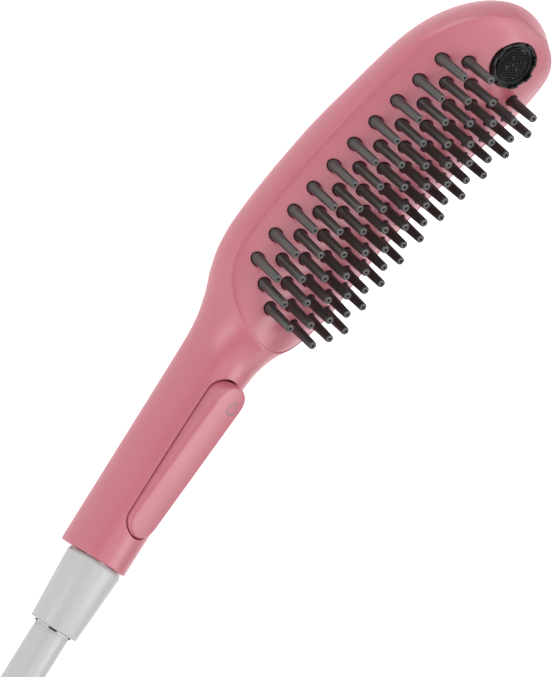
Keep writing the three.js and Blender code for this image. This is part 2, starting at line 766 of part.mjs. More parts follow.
function valveBody() {
  const socket = rod(endWall + gap, socketEnd, socketRadius);
  const barrel = atValve(turnedUp([
    [-barrelBottom, 0],
    [-barrelBottom, barrelRadius],
    [barrelTop, barrelRadius],
    [barrelTop, 0],
  ]));
  const armPoints = [new THREE.Vector3(armStart, 0, 0), new THREE.Vector3(valveStation, 0, -armDrop)];
  const arm = pipe(armPoints, armRadius, 12, 1);
  const outlet = rod(valveStation, outletEnd, armRadius, 16).translate(0, 0, -outletDrop);
  const body = joined(socket, barrel, arm, outlet);
  const socketBore = rod(0, tailLength + gap, tailRadius + gap);
  const armHole = pipe(armPoints, armBore, 10, 1);
  const lower = [[-barrelBottom - overrun, 0], [-barrelBottom - overrun, chamberRadius]];
  const bore = atValve(turnedUp([
    ...lower,
    [-seatDrop, chamberRadius],
    [-seatDrop, seatRadius],
    [-seatDrop + seatThickness, seatRadius],
    [-seatDrop + seatThickness, outletChamberRadius],
    [-outletRoof, outletChamberRadius],
    [-outletRoof, stemRadius + gap],
    [barrelTop - glandSeat, stemRadius + gap],
    [barrelTop - glandSeat, stemRadius + gap * 3 + ringWire * 2],
    [barrelTop + overrun, stemRadius + gap * 3 + ringWire * 2],
    [barrelTop + overrun, 0],
  ], 16));
  const outletHole = rod(valveStation, outletEnd + overrun, armBore, smallSides).translate(0, 0, -outletDrop);
  return cut(body, socketBore, armHole, bore, outletHole);
}

function valveStem() {
  const poppetTop = -seatDrop - gap * 2 - sealThickness;
  return atValve(turnedUp([
    [poppetTop - poppetThickness, 0],
    [poppetTop - poppetThickness, poppetRadius],
    [poppetTop, poppetRadius],
    [poppetTop, stemRadius],
    [stemTop - stemButton, stemRadius],
    [stemTop - stemButton, stemButtonRadius],
    [stemTop, stemButtonRadius],
    [stemTop, 0],
  ], 16));
}

function poppetSeal() {
  const top = -seatDrop - gap;
  const bore = stemRadius + gap;
  return atValve(turnedUp([
    [top - sealThickness, bore],
    [top - sealThickness, poppetRadius],
    [top, poppetRadius],
    [top, bore],
  ], 16));
}

function valvePlug() {
  const radius = chamberRadius - gap;
  return atValve(turnedUp([
    [-barrelBottom, 0],
    [-barrelBottom, radius],
    [-barrelBottom + plugThickness, radius],
    [-barrelBottom + plugThickness, 0],
  ], 16));
}

function glandNut() {
  const bore = stemRadius + gap;
  const foot = barrelTop + gap;
  return atValve(turnedUp([
    [foot, bore],
    [foot, glandRadius],
    [foot + glandThickness, glandRadius],
    [foot + glandThickness, bore],
  ], 16));
}

function stemRing() {
  const middle = barrelTop - glandSeat / 2;
  return atValve(oRing(middle, stemRadius + gap + ringWire, ringWire, 16).rotateY(-Math.PI / 2));
}

const springFoot = barrelTop + gap + glandThickness + gap;
const springHead = stemTop - stemButton - gap;

function valveSpring() {
  const radius = stemRadius + gap + springWire * 2;
  const steps = 8 * springTurns;
  const points = [];
  for (let i = 0; i <= steps; i += 1) {
    const turn = (i / 8) * tau;
    const z = springFoot + springWire + ((springHead - springFoot - springWire * 2) * i) / steps;
    points.push(new THREE.Vector3(radius * Math.cos(turn), radius * Math.sin(turn), z));
  }
  return atValve(sweep(points, springWire, 5));
}

// Water tube from the valve to the chamber's port
const portMouth = new THREE.Vector3(portStart - gap, 0, portZ).applyMatrix4(headPlace);

function waterTube() {
  const start = new THREE.Vector3(outletEnd + gap, 0, -outletDrop);
  const lead = armRadius * 1.6;
  const points = [
    start,
    start.clone().add(new THREE.Vector3(lead, 0, 0)),
    portMouth.clone().sub(new THREE.Vector3(Math.cos(headLean) * lead, 0, Math.sin(headLean) * lead)),
    portMouth,
  ];
  return cut(pipe(points, armRadius, 12, 8), pipeThrough(points, armBore, 10, 8));
}

// The bore of a pipe, run on past both of its ends
function pipeThrough(points, radius, sides, steps) {
  const before = points[0].clone().sub(points[1]).setLength(overrun).add(points[0]);
  const after = points.at(-1).clone().sub(points.at(-2)).setLength(overrun).add(points.at(-1));
  return pipe([before, ...points, after], radius, sides, steps + 2);
}

function inletConnector() {
  const grooveEnd = grooveStart + grooveWidth;
  const grooveRadius = tailRadius - grooveDepth;
  return turned([
    [-threadLength, connectorBore],
    [-threadLength, threadRadius - nutChamfer],
    [-threadLength + nutChamfer, threadRadius],
    [-gap, threadRadius],
    [-gap, tailRadius],
    [grooveStart, tailRadius],
    [grooveStart, grooveRadius],
    [grooveEnd, grooveRadius],
    [grooveEnd, tailRadius],
    [tailLength, tailRadius],
    [tailLength, connectorBore],
  ]);
}

function inletRing() {
  const radius = tailRadius - grooveDepth + gap + inletRingWire;
  return oRing(grooveStart + grooveWidth / 2, radius, inletRingWire);
}

// Places along the hose axis, down from the grip's end
const washerTop = -threadLength - gap;
const flangeTop = washerTop - washerThickness - gap;
const ferruleStep = flangeTop - ferruleFlange;
const nutEnd = -nutStart - nutLength;
const ferruleEnd = nutEnd + nutMouth;

function filterWasher() {
  return sleeve(washerTop - washerThickness, washerTop, washerRadius, washerBore);
}

function inletFilter() {
  const radius = washerBore - gap;
  const middle = washerTop - washerThickness / 2;
  const disc = rod(middle - filterThickness / 2, middle + filterThickness / 2, radius);
  const holes = [rod(middle - overrun, middle + overrun, filterHole, 6)];
  for (let i = 0; i < filterHoles; i += 1) {
    const turn = (i / filterHoles) * tau;
    const hole = rod(middle - overrun, middle + overrun, filterHole, 6);
    holes.push(hole.translate(0, (radius / 2 + gap) * Math.cos(turn), (radius / 2 + gap) * Math.sin(turn)));
  }
  return cut(disc, ...holes);
}

function hoseFerrule() {
  return turned([
    [ferruleEnd, hoseBore],
    [ferruleEnd, ferruleRadius],
    [ferruleStep, ferruleRadius],
    [ferruleStep, washerRadius],
    [flangeTop, washerRadius],
    [flangeTop, hoseBore],
  ]);
}

function coneNut() {
  const shoulder = ferruleStep - gap;
  const mouthBore = threadRadius + gap;
  return turned([
    [nutEnd, ferruleRadius + gap],
    [nutEnd, nutSmallRadius - nutChamfer],
    [nutEnd + nutChamfer, nutSmallRadius],
    [-nutStart - nutChamfer, nutBigRadius],
    [-nutStart, nutBigRadius - nutChamfer],
    [-nutStart, mouthBore],
    [washerTop - gap, mouthBore],
    [washerTop - gap, washerRadius + gap],
    [shoulder, washerRadius + gap],
    [shoulder, ferruleRadius + gap],
  ]);
}

// The table that the shower lies on, and the hose's route down to it
const body = bodyShell();
body.computeBoundingBox();
const tableZ = body.boundingBox.min.z;
const hoseStart = ferruleEnd - gap;
const hoseDrop = -tableZ - hoseRadius;

function hoseRoute() {
  const points = [];
  for (let i = 0; i <= leadSteps; i += 1) {
    const along = (leadLength * i) / leadSteps;
    const share = THREE.MathUtils.smootherstep(along, leadStraight, leadLength - leadSettled);
    points.push(new THREE.Vector3(hoseStart - along, 0, -hoseDrop * share));
  }
  return points;
}

function hoseLead() {
  return pipe(hoseRoute(), hoseRadius, hoseSides, leadSteps);
}

// Hank: turns with two straight runs and two folds lie on each other, and the far end lies on them
const hankStart = hoseStart - leadLength - gap;
const foldLength = Math.PI * foldRadius;
const turnLength = (hankRun + foldLength) * 2;
const hankLength = hoseLength - leadLength - gap;
const levelPitch = hoseRadius * 2 + gap;
const hankZ = tableZ + hoseRadius;

function hankPoint(along) {
  const turns = Math.floor(along / turnLength);
  const place = along - turns * turnLength;
  const fold = hankRun + foldLength;
  const secondRun = fold + hankRun;
  const point = new THREE.Vector3(hankStart - place, 0, 0);
  if (place > secondRun) {
    const angle = (place - secondRun) / foldRadius;
    point.set(hankStart + foldRadius * Math.sin(angle), -foldRadius * (1 + Math.cos(angle)), 0);
  } else if (place > fold) {
    point.set(hankStart - hankRun + place - fold, -foldRadius * 2, 0);
  } else if (place > hankRun) {
    const angle = (place - hankRun) / foldRadius;
    point.set(hankStart - hankRun - foldRadius * Math.sin(angle), foldRadius * (Math.cos(angle) - 1), 0);
  }
  const climbed = THREE.MathUtils.smootherstep(place, fold + climbStart, turnLength - climbEnd);
  const lifted = THREE.MathUtils.smootherstep(along, hankLevels * turnLength + hankRun, hankLevels * turnLength + fold);
  const fromTie = (Math.abs(place - hankRun / 2) * runSteps) / hankRun;
  const hump = (tieWall + gap) * THREE.MathUtils.clamp(2 - fromTie, 0, 1);
  point.z = hankZ + (turns + climbed) * levelPitch + tailLift * lifted + hump;
  return point;
}

function hankRoute() {
  const places = [];
  for (let turn = 0; turn <= hankLevels; turn += 1) {
    for (const half of [0, 1]) {
      const start = turn * turnLength + half * (turnLength / 2);
      for (let i = 0; i < runSteps; i += 1) places.push(start + (hankRun * i) / runSteps);
      for (let i = 0; i < foldSteps; i += 1) places.push(start + hankRun + (foldLength * i) / foldSteps);
    }
  }
  return [...places.filter((place) => place < hankLength - hoseRadius), hankLength].map(hankPoint);
}

// Least distance between stretches of the coil that lie more than a turn's quarter apart
function leastGap(points, radius, apart) {
  let least = Infinity;
  points.forEach((point, i) => {
    for (let j = i + apart; j < points.length; j += 1) {
      least = Math.min(least, point.distanceTo(points[j]) - radius * 2);
    }
  });
  return least;
}

const hankCheck = [...hoseRoute()];
for (let along = 0; along < hankLength; along += 2) hankCheck.push(hankPoint(along));
const apart = 40; // points of the route between two that may touch
const hankGap = leastGap(hankCheck, hoseRadius, apart);
const hankTail = hankLength - hankLevels * turnLength - hankRun - foldLength;
console.log(`hank: tail ${hankTail.toFixed(1)}, least gap to itself ${hankGap.toFixed(2)} mm`);

function coilTie() {
  const side = hoseRadius + tieSlack;
  const low = tieWall;
  const high = low + gap + hoseRadius * 2 + levelPitch * hankLevels + gap;
  const shape = roundedBox(-side - tieWall, side + tieWall, low - tieWall, high + tieWall, hoseRadius / 2 + tieWall);
  shape.holes.push(roundedBox(-side, side, low, high, hoseRadius / 2));
  const band = new THREE.ExtrudeGeometry(shape, { depth: tieWidth, bevelEnabled: false, curveSegments: 3 });
  band.rotateX(Math.PI / 2).rotateZ(Math.PI / 2);
  return geometryOf(solid(band.translate(hankStart - (hankRun + tieWidth) / 2, 0, tableZ)));
}

function roundedBox(left, right, bottom, top, radius) {
  const shape = new THREE.Shape();
  shape.moveTo(left + radius, bottom);
  shape.lineTo(right - radius, bottom);
  shape.absarc(right - radius, bottom + radius, radius, -Math.PI / 2, 0, false);
  shape.absarc(right - radius, top - radius, radius, 0, Math.PI / 2, false);
  shape.absarc(left + radius, top - radius, radius, Math.PI / 2, Math.PI, false);
  shape.absarc(left + radius, bottom + radius, radius, Math.PI, Math.PI * 1.5, false);
  return shape;
}

// Far end of the hose: its ferrule, washer and hexagon nut, on one axis
const farEnd = hankRoute().at(-1);
const farFerruleLength = hexLength - washerThickness - threadLength / 2;

function atFarEnd(geometry) {
  return geometry.translate(farEnd.x, farEnd.y, farEnd.z);
}

function farFerrule() {
  const flange = gap + farFerruleLength;
  return atFarEnd(turned([
    [gap, hoseBore],
    [gap, ferruleRadius],
    [flange - ferruleFlange, ferruleRadius],
    [flange - ferruleFlange, washerRadius],
    [flange, washerRadius],
    [flange, hoseBore],
  ]));
}

function farWasher() {
  const start = gap + farFerruleLength + gap;
  return atFarEnd(sleeve(start, start + washerThickness, washerRadius, washerBore));
}

function farNut() {
  const start = gap * 2;
  const end = start + hexLength;
  const across = hexAcross / 2;
  const corner = across / Math.cos(Math.PI / 6);
  const hex = new THREE.CylinderGeometry(corner, corner, hexLength, 6).rotateZ(-Math.PI / 2);
  hex.translate(start + hexLength / 2, 0, 0);
  const rounded = turned([
    [start, 0],
    [start, across],
    [start + nutChamfer, corner],
    [end - nutChamfer, corner],
    [end, across],
    [end, 0],
  ]);
  const shoulder = gap + farFerruleLength - ferruleFlange - gap;
  const bore = turned([
    [start - overrun, 0],
    [start - overrun, ferruleRadius + gap],
    [shoulder, ferruleRadius + gap],
    [shoulder, threadRadius + gap],
    [end + overrun, threadRadius + gap],
    [end + overrun, 0],
  ]);
  return atFarEnd(geometryOf(solid(hex).intersect(solid(rounded)).subtract(solid(bore))));
}

// The assembly
const grip = new THREE.Group();
const head = new THREE.Group();
const aerator = new THREE.Group();
head.position.set(headX, 0, headZ);
head.rotation.y = -headLean;
aerator.position.set(aeratorStation, 0, aeratorHeight);
head.add(aerator);
grip.add(head);

function add(group, name, geometry, material) {
  const mesh = new THREE.Mesh(geometry, material);
  mesh.name = name;
  group.add(mesh);
}

add(grip, 'body_shell', body, colours.pink);
add(head, 'face_plate', facePlate(), colours.pink);
add(head, 'nozzle_mat', nozzleMat(), colours.silicone);
add(head, 'spray_chamber', sprayChamber(), colours.white);
add(aerator, 'aerator_ring', aeratorRing(), colours.black);
add(aerator, 'aerator_mesh', aeratorMesh(), colours.black);
add(grip, 'pause_lever', lever(), colours.pink);
add(grip, 'lever_pin', leverPin(), colours.steel);
add(grip, 'valve_body', valveBody(), colours.white);
add(grip, 'valve_stem', valveStem(), colours.white);
add(grip, 'poppet_seal', poppetSeal(), colours.rubber);
add(grip, 'valve_plug', valvePlug(), colours.white);
add(grip, 'gland_nut', glandNut(), colours.white);
add(grip, 'stem_oring', stemRing(), colours.rubber);
add(grip, 'valve_spring', valveSpring(), colours.steel);
add(grip, 'water_tube', waterTube(), colours.white);
add(grip, 'inlet_connector', inletConnector(), colours.steel);
add(grip, 'inlet_oring', inletRing(), colours.rubber);
add(grip, 'filter_washer', filterWasher(), colours.rubber);
add(grip, 'inlet_filter', inletFilter(), colours.steel);
add(grip, 'hose_ferrule', hoseFerrule(), colours.silver);
add(grip, 'cone_nut', coneNut(), colours.silver);
add(grip, 'hose_lead', hoseLead(), colours.silver);
add(grip, 'hose_coil', sweep(hankRoute(), hoseRadius, hankSides), colours.silver);
add(grip, 'coil_tie', coilTie(), colours.black);
add(grip, 'tap_ferrule', farFerrule(), colours.silver);
add(grip, 'tap_washer', farWasher(), colours.rubber);
add(grip, 'tap_nut', farNut(), colours.silver);

// The origin is under the middle of the shower, from the small end of its cone nut to its tip
grip.position.set(-(nutEnd + tipX) / 2, 0, -tableZ);
const shower = new THREE.Group();
shower.add(grip);

export default shower;
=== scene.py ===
"""Pet hand shower: visible pieces for the frame's bodies, finishes, camera and light."""
import math

import bmesh
import bpy
import numpy as np
from bpy.props import FloatProperty, FloatVectorProperty, IntProperty, PointerProperty
from mathutils import Matrix, Vector


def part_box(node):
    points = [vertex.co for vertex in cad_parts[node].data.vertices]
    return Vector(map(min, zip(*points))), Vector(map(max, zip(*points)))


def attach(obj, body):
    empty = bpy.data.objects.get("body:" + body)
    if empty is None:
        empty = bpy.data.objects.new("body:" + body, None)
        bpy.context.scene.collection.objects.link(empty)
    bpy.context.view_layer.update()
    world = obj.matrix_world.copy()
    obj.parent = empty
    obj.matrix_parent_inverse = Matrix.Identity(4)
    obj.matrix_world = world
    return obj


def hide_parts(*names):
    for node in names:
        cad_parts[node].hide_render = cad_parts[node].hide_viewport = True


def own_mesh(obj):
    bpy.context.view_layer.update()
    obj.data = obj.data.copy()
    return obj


bl_info = {
    "name": "Pet hand shower",
    "version": (1, 0, 0),
    "blender": (4, 5, 0),
    "location": "View3D > Sidebar > Hand shower",
    "description": "Makes a pet hand shower with its hose, spray face and pause lever",
    "category": "Add Mesh",
}

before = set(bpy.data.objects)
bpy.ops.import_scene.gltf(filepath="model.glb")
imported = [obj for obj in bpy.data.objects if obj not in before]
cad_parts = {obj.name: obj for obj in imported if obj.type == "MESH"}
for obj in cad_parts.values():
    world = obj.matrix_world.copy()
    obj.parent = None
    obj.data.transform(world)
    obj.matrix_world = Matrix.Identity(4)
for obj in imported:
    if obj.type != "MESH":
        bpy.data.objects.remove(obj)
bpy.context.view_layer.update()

MM = 0.001
shell_low, shell_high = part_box("body_shell")
nut_low, nut_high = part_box("cone_nut")
# The grip's frame: hose axis at the grip's hose end, in millimetres of the part
GRIP = np.array([shell_low[0], 0.0, (nut_low[2] + nut_high[2]) / 2]) / MM

# Sizes of the solids, in millimetres, in the grip's frame
GAP = 0.3
WALL = 2.6
END_WALL = 3
GRIP_LENGTH = 107
GRIP_HALF_WIDTH = 14.3
GRIP_CREST = 13
GRIP_BACK = 18.2
GRIP_DROP = (GRIP_BACK - GRIP_CREST) / 2
HEAD_LEAN = math.radians(13.54)
HEAD_HALF_WIDTH = 32.5
HEAD_RISE = 48
FACE_RISE = 18.9
HEAD_REACH = 169.131
FACE_HALF_WIDTH = 30.8
FACE_TAIL = 77
FACE_TIP = 90.211
TAIL_ROUND = 31
TIP_ROUND = 40
TAIL_POWER = 2.1
TIP_POWER = 2.45
FACE_GAUGE = 50
FACE_SLOPE = 3.04
FACE_DISH = 4.15
FACE_FADE = 0.86
CROWN_GAUGE = 20
CROWN_DROP = 4.74
TAIL_FOLD = 1.6
TAIL_FOLD_START = 45
TIP_FOLD = 0.669
TIP_FOLD_START = 57
TIP_DROP = 7.011
TIP_DROP_START = 75.133
TIP_DROP_SPAN = 15
TIP_DROP_POWER = 2.777
RIM_LAND = 0.6
FIELD_HALF = 66
SEAM = 0.03
GROOVE_DEPTH = 0.3
GROOVE_STEPS = [0.3, 0.7, 1.3, 2.0]
GROOVE_FADES = 30
PLATE_WALL = 2.4
NOZZLE_PITCH = 12
COLUMN_PITCH = 7.56
NOZZLE_LENGTH = 17.3
NOZZLE_HOLE = 2.75
NOZZLE_BORE = 0.9
HOLE_CUT = 5
BORE_CUT = (6, 1)
COLUMN_COUNTS = [10, 11, 11, 10]
COLUMN_STARTS = [-4.75, -5.25, -4.75, -4.25]
MAT_WALL = 2
MAT_INSET = 3.6
AERATOR_STATION = 73.9
AERATOR_RISE = 0.7
AERATOR_RADIUS = 10
AERATOR_WALL = 0.9
AERATOR_FLANGE = 3
AERATOR_SKIRT_RADIUS = 7.9
AERATOR_SKIRT = 5.3
AERATOR_LEDGE = 0.8
AERATOR_CUT = (-20, 4)
KEY_COUNT = 8
KEY_DEPTH = 1.1
KEY_REACH = 1.4
KEY_SECTION = [(-1.9, -KEY_DEPTH), (1.9, -KEY_DEPTH), (2, 3), (-2, 3)]
RING_GROOVE = 2.1
RING_STEP = 0.35
INSERT_LIP = 0.25
PEG_PITCH = 1.16
PEG_RADIUS = 0.46
PEG_HEIGHT = 0.8
PEG_SHOULDER = 0.9
PEG_TAPER = 0.72
PEG_MARGIN = 0.15
PEG_SINK = 0.05
PAD_RADIUS = 0.75
INSERT_PADS = [(2.3, 1.6), (-2.4, 1.3), (0.2, -0.1), (-0.3, -2.9)]
MESH_RADIUS = 7
SLOT_START = 15
SLOT_END = 89.45
SLOT_HALF_WIDTH = 7.7
SLOT_FLOOR = 3.55
LEVER_SIDE = 0.25
LEVER_HEEL = 0.4
LEVER_HEIGHT = 10
LEVER_RISE = 13.9
LEVER_SLOPE = math.radians(5.87)
LEVER_ROUND = 1.4
LEVER_DRAFT = 0.9
LEVER_FOOT_DRAFT = 0.3
LEVER_SIDE_DRAFT = 0.8
LEVER_WALL = 1.9
LEVER_ROOF = 2.4
LEVER_CROWN = 0.9
LEVER_POINTS = 150
DROP_PLACE = (79.8, -1.9)
DROP_LENGTH = 6.4
DROP_WIDTH = 5.2
DROP_FULLNESS = 1.3
DROP_STEPS = 72
DROP_LINE = 0.55
DROP_RISE = 0.03
PIN_STATION = 21.6
PIN_HEIGHT = 7.3
PIN_RADIUS = 1.25
PIN_SEAT = 1.9
HUB_LENGTH = 9
VALVE_STATION = 56
STEM_TOP = 13.4
PRESS_RIB = 3
TAIL_RADIUS = 5.6
THREAD_RADIUS = 10.4
THREAD_LENGTH = 10
HOSE_RADIUS = 7.8
HOSE_LENGTH = 1500
NUT_START = 0.35
NUT_LENGTH = 32.05
NUT_BIG_RADIUS = 12.3
NUT_SMALL_RADIUS = 10.6
NUT_MOUTH = 2.5
NUT_BEVEL = 0.8
COLLAR_REACH = 0.8
COLLAR_RADIUS = 8.15
COLLAR_FLANGE = 8.65
COLLAR_GAP = 0.1
COLLAR_SLOT = 3.8
COLLAR_SIDE_SLOT = 9.5
COLLAR_TAIL = 0.6
COLLAR_BORE = HOSE_RADIUS + 0.02
COLLAR_WALL = 0.2
SEAL_WALL = 0.18
SEAL_INSET = 0.1
WASHER_THICKNESS = 2
WASHER_RADIUS = 9.7
FERRULE_FLANGE = 1.7
FERRULE_RADIUS = 8
HEX_ACROSS = 24
LEAD_LENGTH = 112
LEAD_STRAIGHT = 36
LEAD_SETTLED = 10
LEAD_STEPS = 14
HANK_RUN = 114
FOLD_RADIUS = 49
HANK_LEVELS = 2
RUN_STEPS = 6
FOLD_STEPS = 8
CLIMB_START = 68
CLIMB_END = 30
TAIL_LIFT = HEX_ACROSS / math.sqrt(3) - HOSE_RADIUS
TIE_WALL = 0.8

# How meshes are made: merging distance in metres, the rest in millimetres or steps
MERGE = 1e-7
OUTLINE_STEP = 1.2
PROBE = 0.05
CUT = 3
END_STEPS = 40
CREASE_MARGIN = 1.01
# Steps round a section of the body, and its stations along grip, neck, head and tip
SHELL_STEPS = (24, 36)
SHELL_STATIONS = (40, 50, 50, 60)
CAVITY_STEPS = (12, 18)
CAVITY_STATIONS = (16, 24, 20, 24)

NUT_END = -NUT_START - NUT_LENGTH
HOSE_START = NUT_END + NUT_MOUTH - GAP
TABLE_Z = -float(GRIP[2])


# Curves of the body


def smooth(pairs):
    """Smooth curve through pairs that never overshoots them."""
    x = np.array([p[0] for p in pairs], float)
    y = np.array([p[1] for p in pairs], float)
    slopes = np.diff(y) / np.diff(x)
    tangents = np.zeros(len(x))
    tangents[0], tangents[-1] = slopes[0], slopes[-1]
    for i in range(1, len(x) - 1):
        left, right = slopes[i - 1], slopes[i]
        tangents[i] = 0 if left * right <= 0 else 2 * left * right / (left + right)

    def value(place):
        place = min(max(place, x[0]), x[-1])
        i = int(min(max(np.searchsorted(x, place, side="right") - 1, 0), len(x) - 2))
        span = x[i + 1] - x[i]
        t = (place - x[i]) / span
        bend = t * (1 - t) * span * (tangents[i] * (1 - t) - tangents[i + 1] * t)
        return float(y[i] + (y[i + 1] - y[i]) * t * t * (3 - 2 * t) + bend)

    return value


def ease(value, start, end):
    """Smooth step from 0 to 1 between two values."""
    t = min(max((value - start) / (end - start), 0.0), 1.0)
    return t * t * t * (t * (t * 6 - 15) + 10)


def face_height(x, y):
    """Height of the spray face: a dish along it, a crown across it, and folds at its ends."""
    u = x / FACE_GAUGE
    v = y / CROWN_GAUGE
    fold = max(0.0, -(x + TAIL_FOLD_START) / CROWN_GAUGE)
    tip_fold = max(0.0, (x - TIP_FOLD_START) / CROWN_GAUGE)
    crown = (CROWN_DROP + TAIL_FOLD * fold * fold + TIP_FOLD * tip_fold * tip_fold) * v * v
    drop = TIP_DROP * (max(0.0, x - TIP_DROP_START) / TIP_DROP_SPAN) ** TIP_DROP_POWER
    return u * (FACE_SLOPE + u * (FACE_DISH - u * FACE_FADE)) - crown - drop - NOZZLE_LENGTH


def face_width(x, inset=0.0):
    """Half width of the spray face at a place along it."""
    if x < 0:
        share = max(0.0, -(x + FACE_TAIL - TAIL_ROUND) / (TAIL_ROUND - inset))
        power = TAIL_POWER
    else:
        share = max(0.0, (x - FACE_TIP + TIP_ROUND) / (TIP_ROUND - inset))
        power = TIP_POWER
    return (FACE_HALF_WIDTH - inset) * max(0.0, 1 - share**power) ** (1 / power)


COS, SIN = math.cos(HEAD_LEAN), math.sin(HEAD_LEAN)
tail_height = face_height(-FACE_TAIL, 0)
HEAD_X = GRIP_LENGTH + FACE_TAIL * COS + tail_height * SIN
HEAD_Z = FACE_RISE + FACE_TAIL * SIN - tail_height * COS
TIP_X = GRIP_LENGTH + HEAD_REACH


def body_profile(grip_rows, grip_unit, head_rows, head_unit):
    """Curve along the body, from shares of the grip's length and of the head's reach."""
    grip = [(along * GRIP_LENGTH, value * grip_unit) for along, value in grip_rows]
    head = [(GRIP_LENGTH + along * HEAD_REACH, value * head_unit) for along, value in head_rows]
    return smooth(grip + head)


NECK_START, NECK_END = 0.785, 0.226
WIDTH_GRIP = [(0, 1), (NECK_START, 1.028), (0.879, 1.049), (0.972, 1.161)]
WIDTH_HEAD = [(0.042, 0.64), (0.101, 0.831), (0.16, 0.954)]
WIDTH_HEAD += [(NECK_END, 0.997), (0.487, 1), (0.695, 1.025)]
BACK_GRIP = [(0, -1), (0.879, -1.011)]
BACK_HEAD = [(0.071, -0.39), (0.249, -0.377), (0.487, -0.23)]
BACK_HEAD += [(0.665, 0.016), (0.843, 0.267), (1, 0.627)]
MIDDLE_GRIP = [(0, -1), (0.813, -0.893), (0.981, -0.179)]
MIDDLE_HEAD = [(0.232, 0.1), (0.475, 0.2875), (0.808, 0.7375), (1, 1)]
CREST = [(0, 1), (0.6, 1.035), (NECK_START, 1.085), (0.888, 1.145), (0.953, 1.27)]
WIDTH_ROUND = 0.726
BACK_ROUND = 0.802
WIDTH_POWER = 2.179
BACK_POWER = 2.593

width_profile = body_profile(WIDTH_GRIP, GRIP_HALF_WIDTH, WIDTH_HEAD, HEAD_HALF_WIDTH)
back_profile = body_profile(BACK_GRIP, GRIP_BACK, BACK_HEAD, HEAD_RISE)
middle_profile = body_profile(MIDDLE_GRIP, GRIP_DROP, MIDDLE_HEAD, HEAD_RISE)


def from_head(points):
    """Points of the head's frame, in the grip's frame."""
    points = np.asarray(points, float)
    x, y, z = points[..., 0], points[..., 1], points[..., 2]
    return np.stack([HEAD_X + x * COS - z * SIN, y, HEAD_Z + x * SIN + z * COS], -1)


def face_point(x, y_at, depth):
    """Point of the face, or of a layer below it, at a place along the grip."""
    along = (x - HEAD_X) / COS
    height = 0.0
    for _ in range(12):
        height = face_height(along, y_at(along)) - depth
        along = (x - HEAD_X + height * SIN) / COS
    return x, y_at(along), height * COS + along * SIN + HEAD_Z


def open_at(x, start_share, power, end):
    """Share of its size that a section keeps as the tip rounds off."""
    start = GRIP_LENGTH + start_share * HEAD_REACH
    share = min(max((x - start) / (end - start), 0), 1)
    return (1 - share**power) ** (1 / power)


def crest_at(x, inset=0.0, depth=0.0):
    """Height of the grip's ridge, up to where the face begins."""
    tail = GRIP_LENGTH + inset
    low_end = face_point(tail, lambda along: 0.0, depth)[2]
    rows = [(along * GRIP_LENGTH, value * GRIP_CREST - inset) for along, value in CREST]
    return smooth(rows + [(tail, low_end)])(x)


def body_section(x, inset, depth, crown_steps, side_steps):
    """Ring of the body at one place: an oval that the spray face cuts."""
    end = TIP_X - inset
    middle = middle_profile(x)
    half_width = (width_profile(x) - inset) * open_at(x, WIDTH_ROUND, WIDTH_POWER, end)
    back = middle + (back_profile(x) + inset - middle) * open_at(x, BACK_ROUND, BACK_POWER, end)
    tail = GRIP_LENGTH + inset
    high = face_height(FACE_TIP - inset, 0) - depth
    high_x = HEAD_X + (FACE_TIP - inset) * COS - high * SIN
    high_z = HEAD_Z + (FACE_TIP - inset) * SIN + high * COS
    crown = []
    edge = 0.0
    if tail < x < high_x:
        _, edge, crease = face_point(x, lambda along: face_width(along, inset), depth)
        half_width = max(half_width, edge * CREASE_MARGIN)
        rise = (crease - middle) / math.sqrt(1 - (edge / half_width) ** 2)
        for i in range(crown_steps + 1):
            y = edge * (1 - 2 * i / crown_steps)
            crown.append(face_point(x, lambda along, y=y: y, depth))
    else:
        share = min(max((x - high_x) / (end - high_x), 0), 1)
        if x <= tail:
            rise = crest_at(x, inset, depth) - middle
        else:
            rise = (high_z - middle) * math.sqrt(1 - share)
        crown = [(x, 0.0, middle + rise)] * (crown_steps + 1)
    start = math.asin(min(1.0, edge / half_width)) if half_width > 0 else 0.0
    side = []
    for i in range(1, side_steps + 1):
        turn = start + (math.pi / 2 - start) * i / side_steps
        side.append((x, -half_width * math.sin(turn), middle + rise * math.cos(turn)))
    for i in range(1, side_steps + 1):
        turn = math.pi / 2 * i / side_steps
        side.append((x, -half_width * math.cos(turn), middle - (middle - back) * math.sin(turn)))
    other = [(x, -y, z) for _, y, z in side[:-1][::-1]]
    return crown + side + other


def front_height(x, y):
    """Height of the grip's front at a place along and across it."""
    half_width = width_profile(x)
    middle = middle_profile(x)
    rise = crest_at(x) - middle
    return middle + rise * math.sqrt(max(0.0, 1 - (y / half_width) ** 2))


def body_stations(start, inset, grip_steps, neck_steps, head_steps, round_steps):
    end = TIP_X - inset
    neck_start = GRIP_LENGTH * NECK_START
    neck_end = GRIP_LENGTH + HEAD_REACH * NECK_END
    round_start = GRIP_LENGTH + HEAD_REACH * WIDTH_ROUND
    places = list(np.linspace(start, neck_start, grip_steps, endpoint=False))
    places += list(np.linspace(neck_start, neck_end, neck_steps, endpoint=False))
    places += list(np.linspace(neck_end, round_start, head_steps, endpoint=False))
    turns = np.linspace(0, math.pi / 2, round_steps + 1)
    places += list(round_start + (end - round_start) * np.sin(turns))
    return places


# Meshes


def new_object(name, data):
    obj = bpy.data.objects.new(name, data)
    bpy.context.scene.collection.objects.link(obj)
    return obj


def to_shared(points):
    """Points in millimetres of the grip's frame, in metres of the shared frame."""
    return [tuple(point) for point in (np.asarray(points, float) + GRIP) * MM]


def merge(mesh, turn_out=False):
    """Merges a mesh's doubles, and where asked turns its faces outwards."""
    bm = bmesh.new()
    bm.from_mesh(mesh)
    bmesh.ops.remove_doubles(bm, verts=bm.verts, dist=MERGE)
    if turn_out:
        bmesh.ops.recalc_face_normals(bm, faces=bm.faces)
    bm.to_mesh(mesh)
    bm.free()
    return mesh


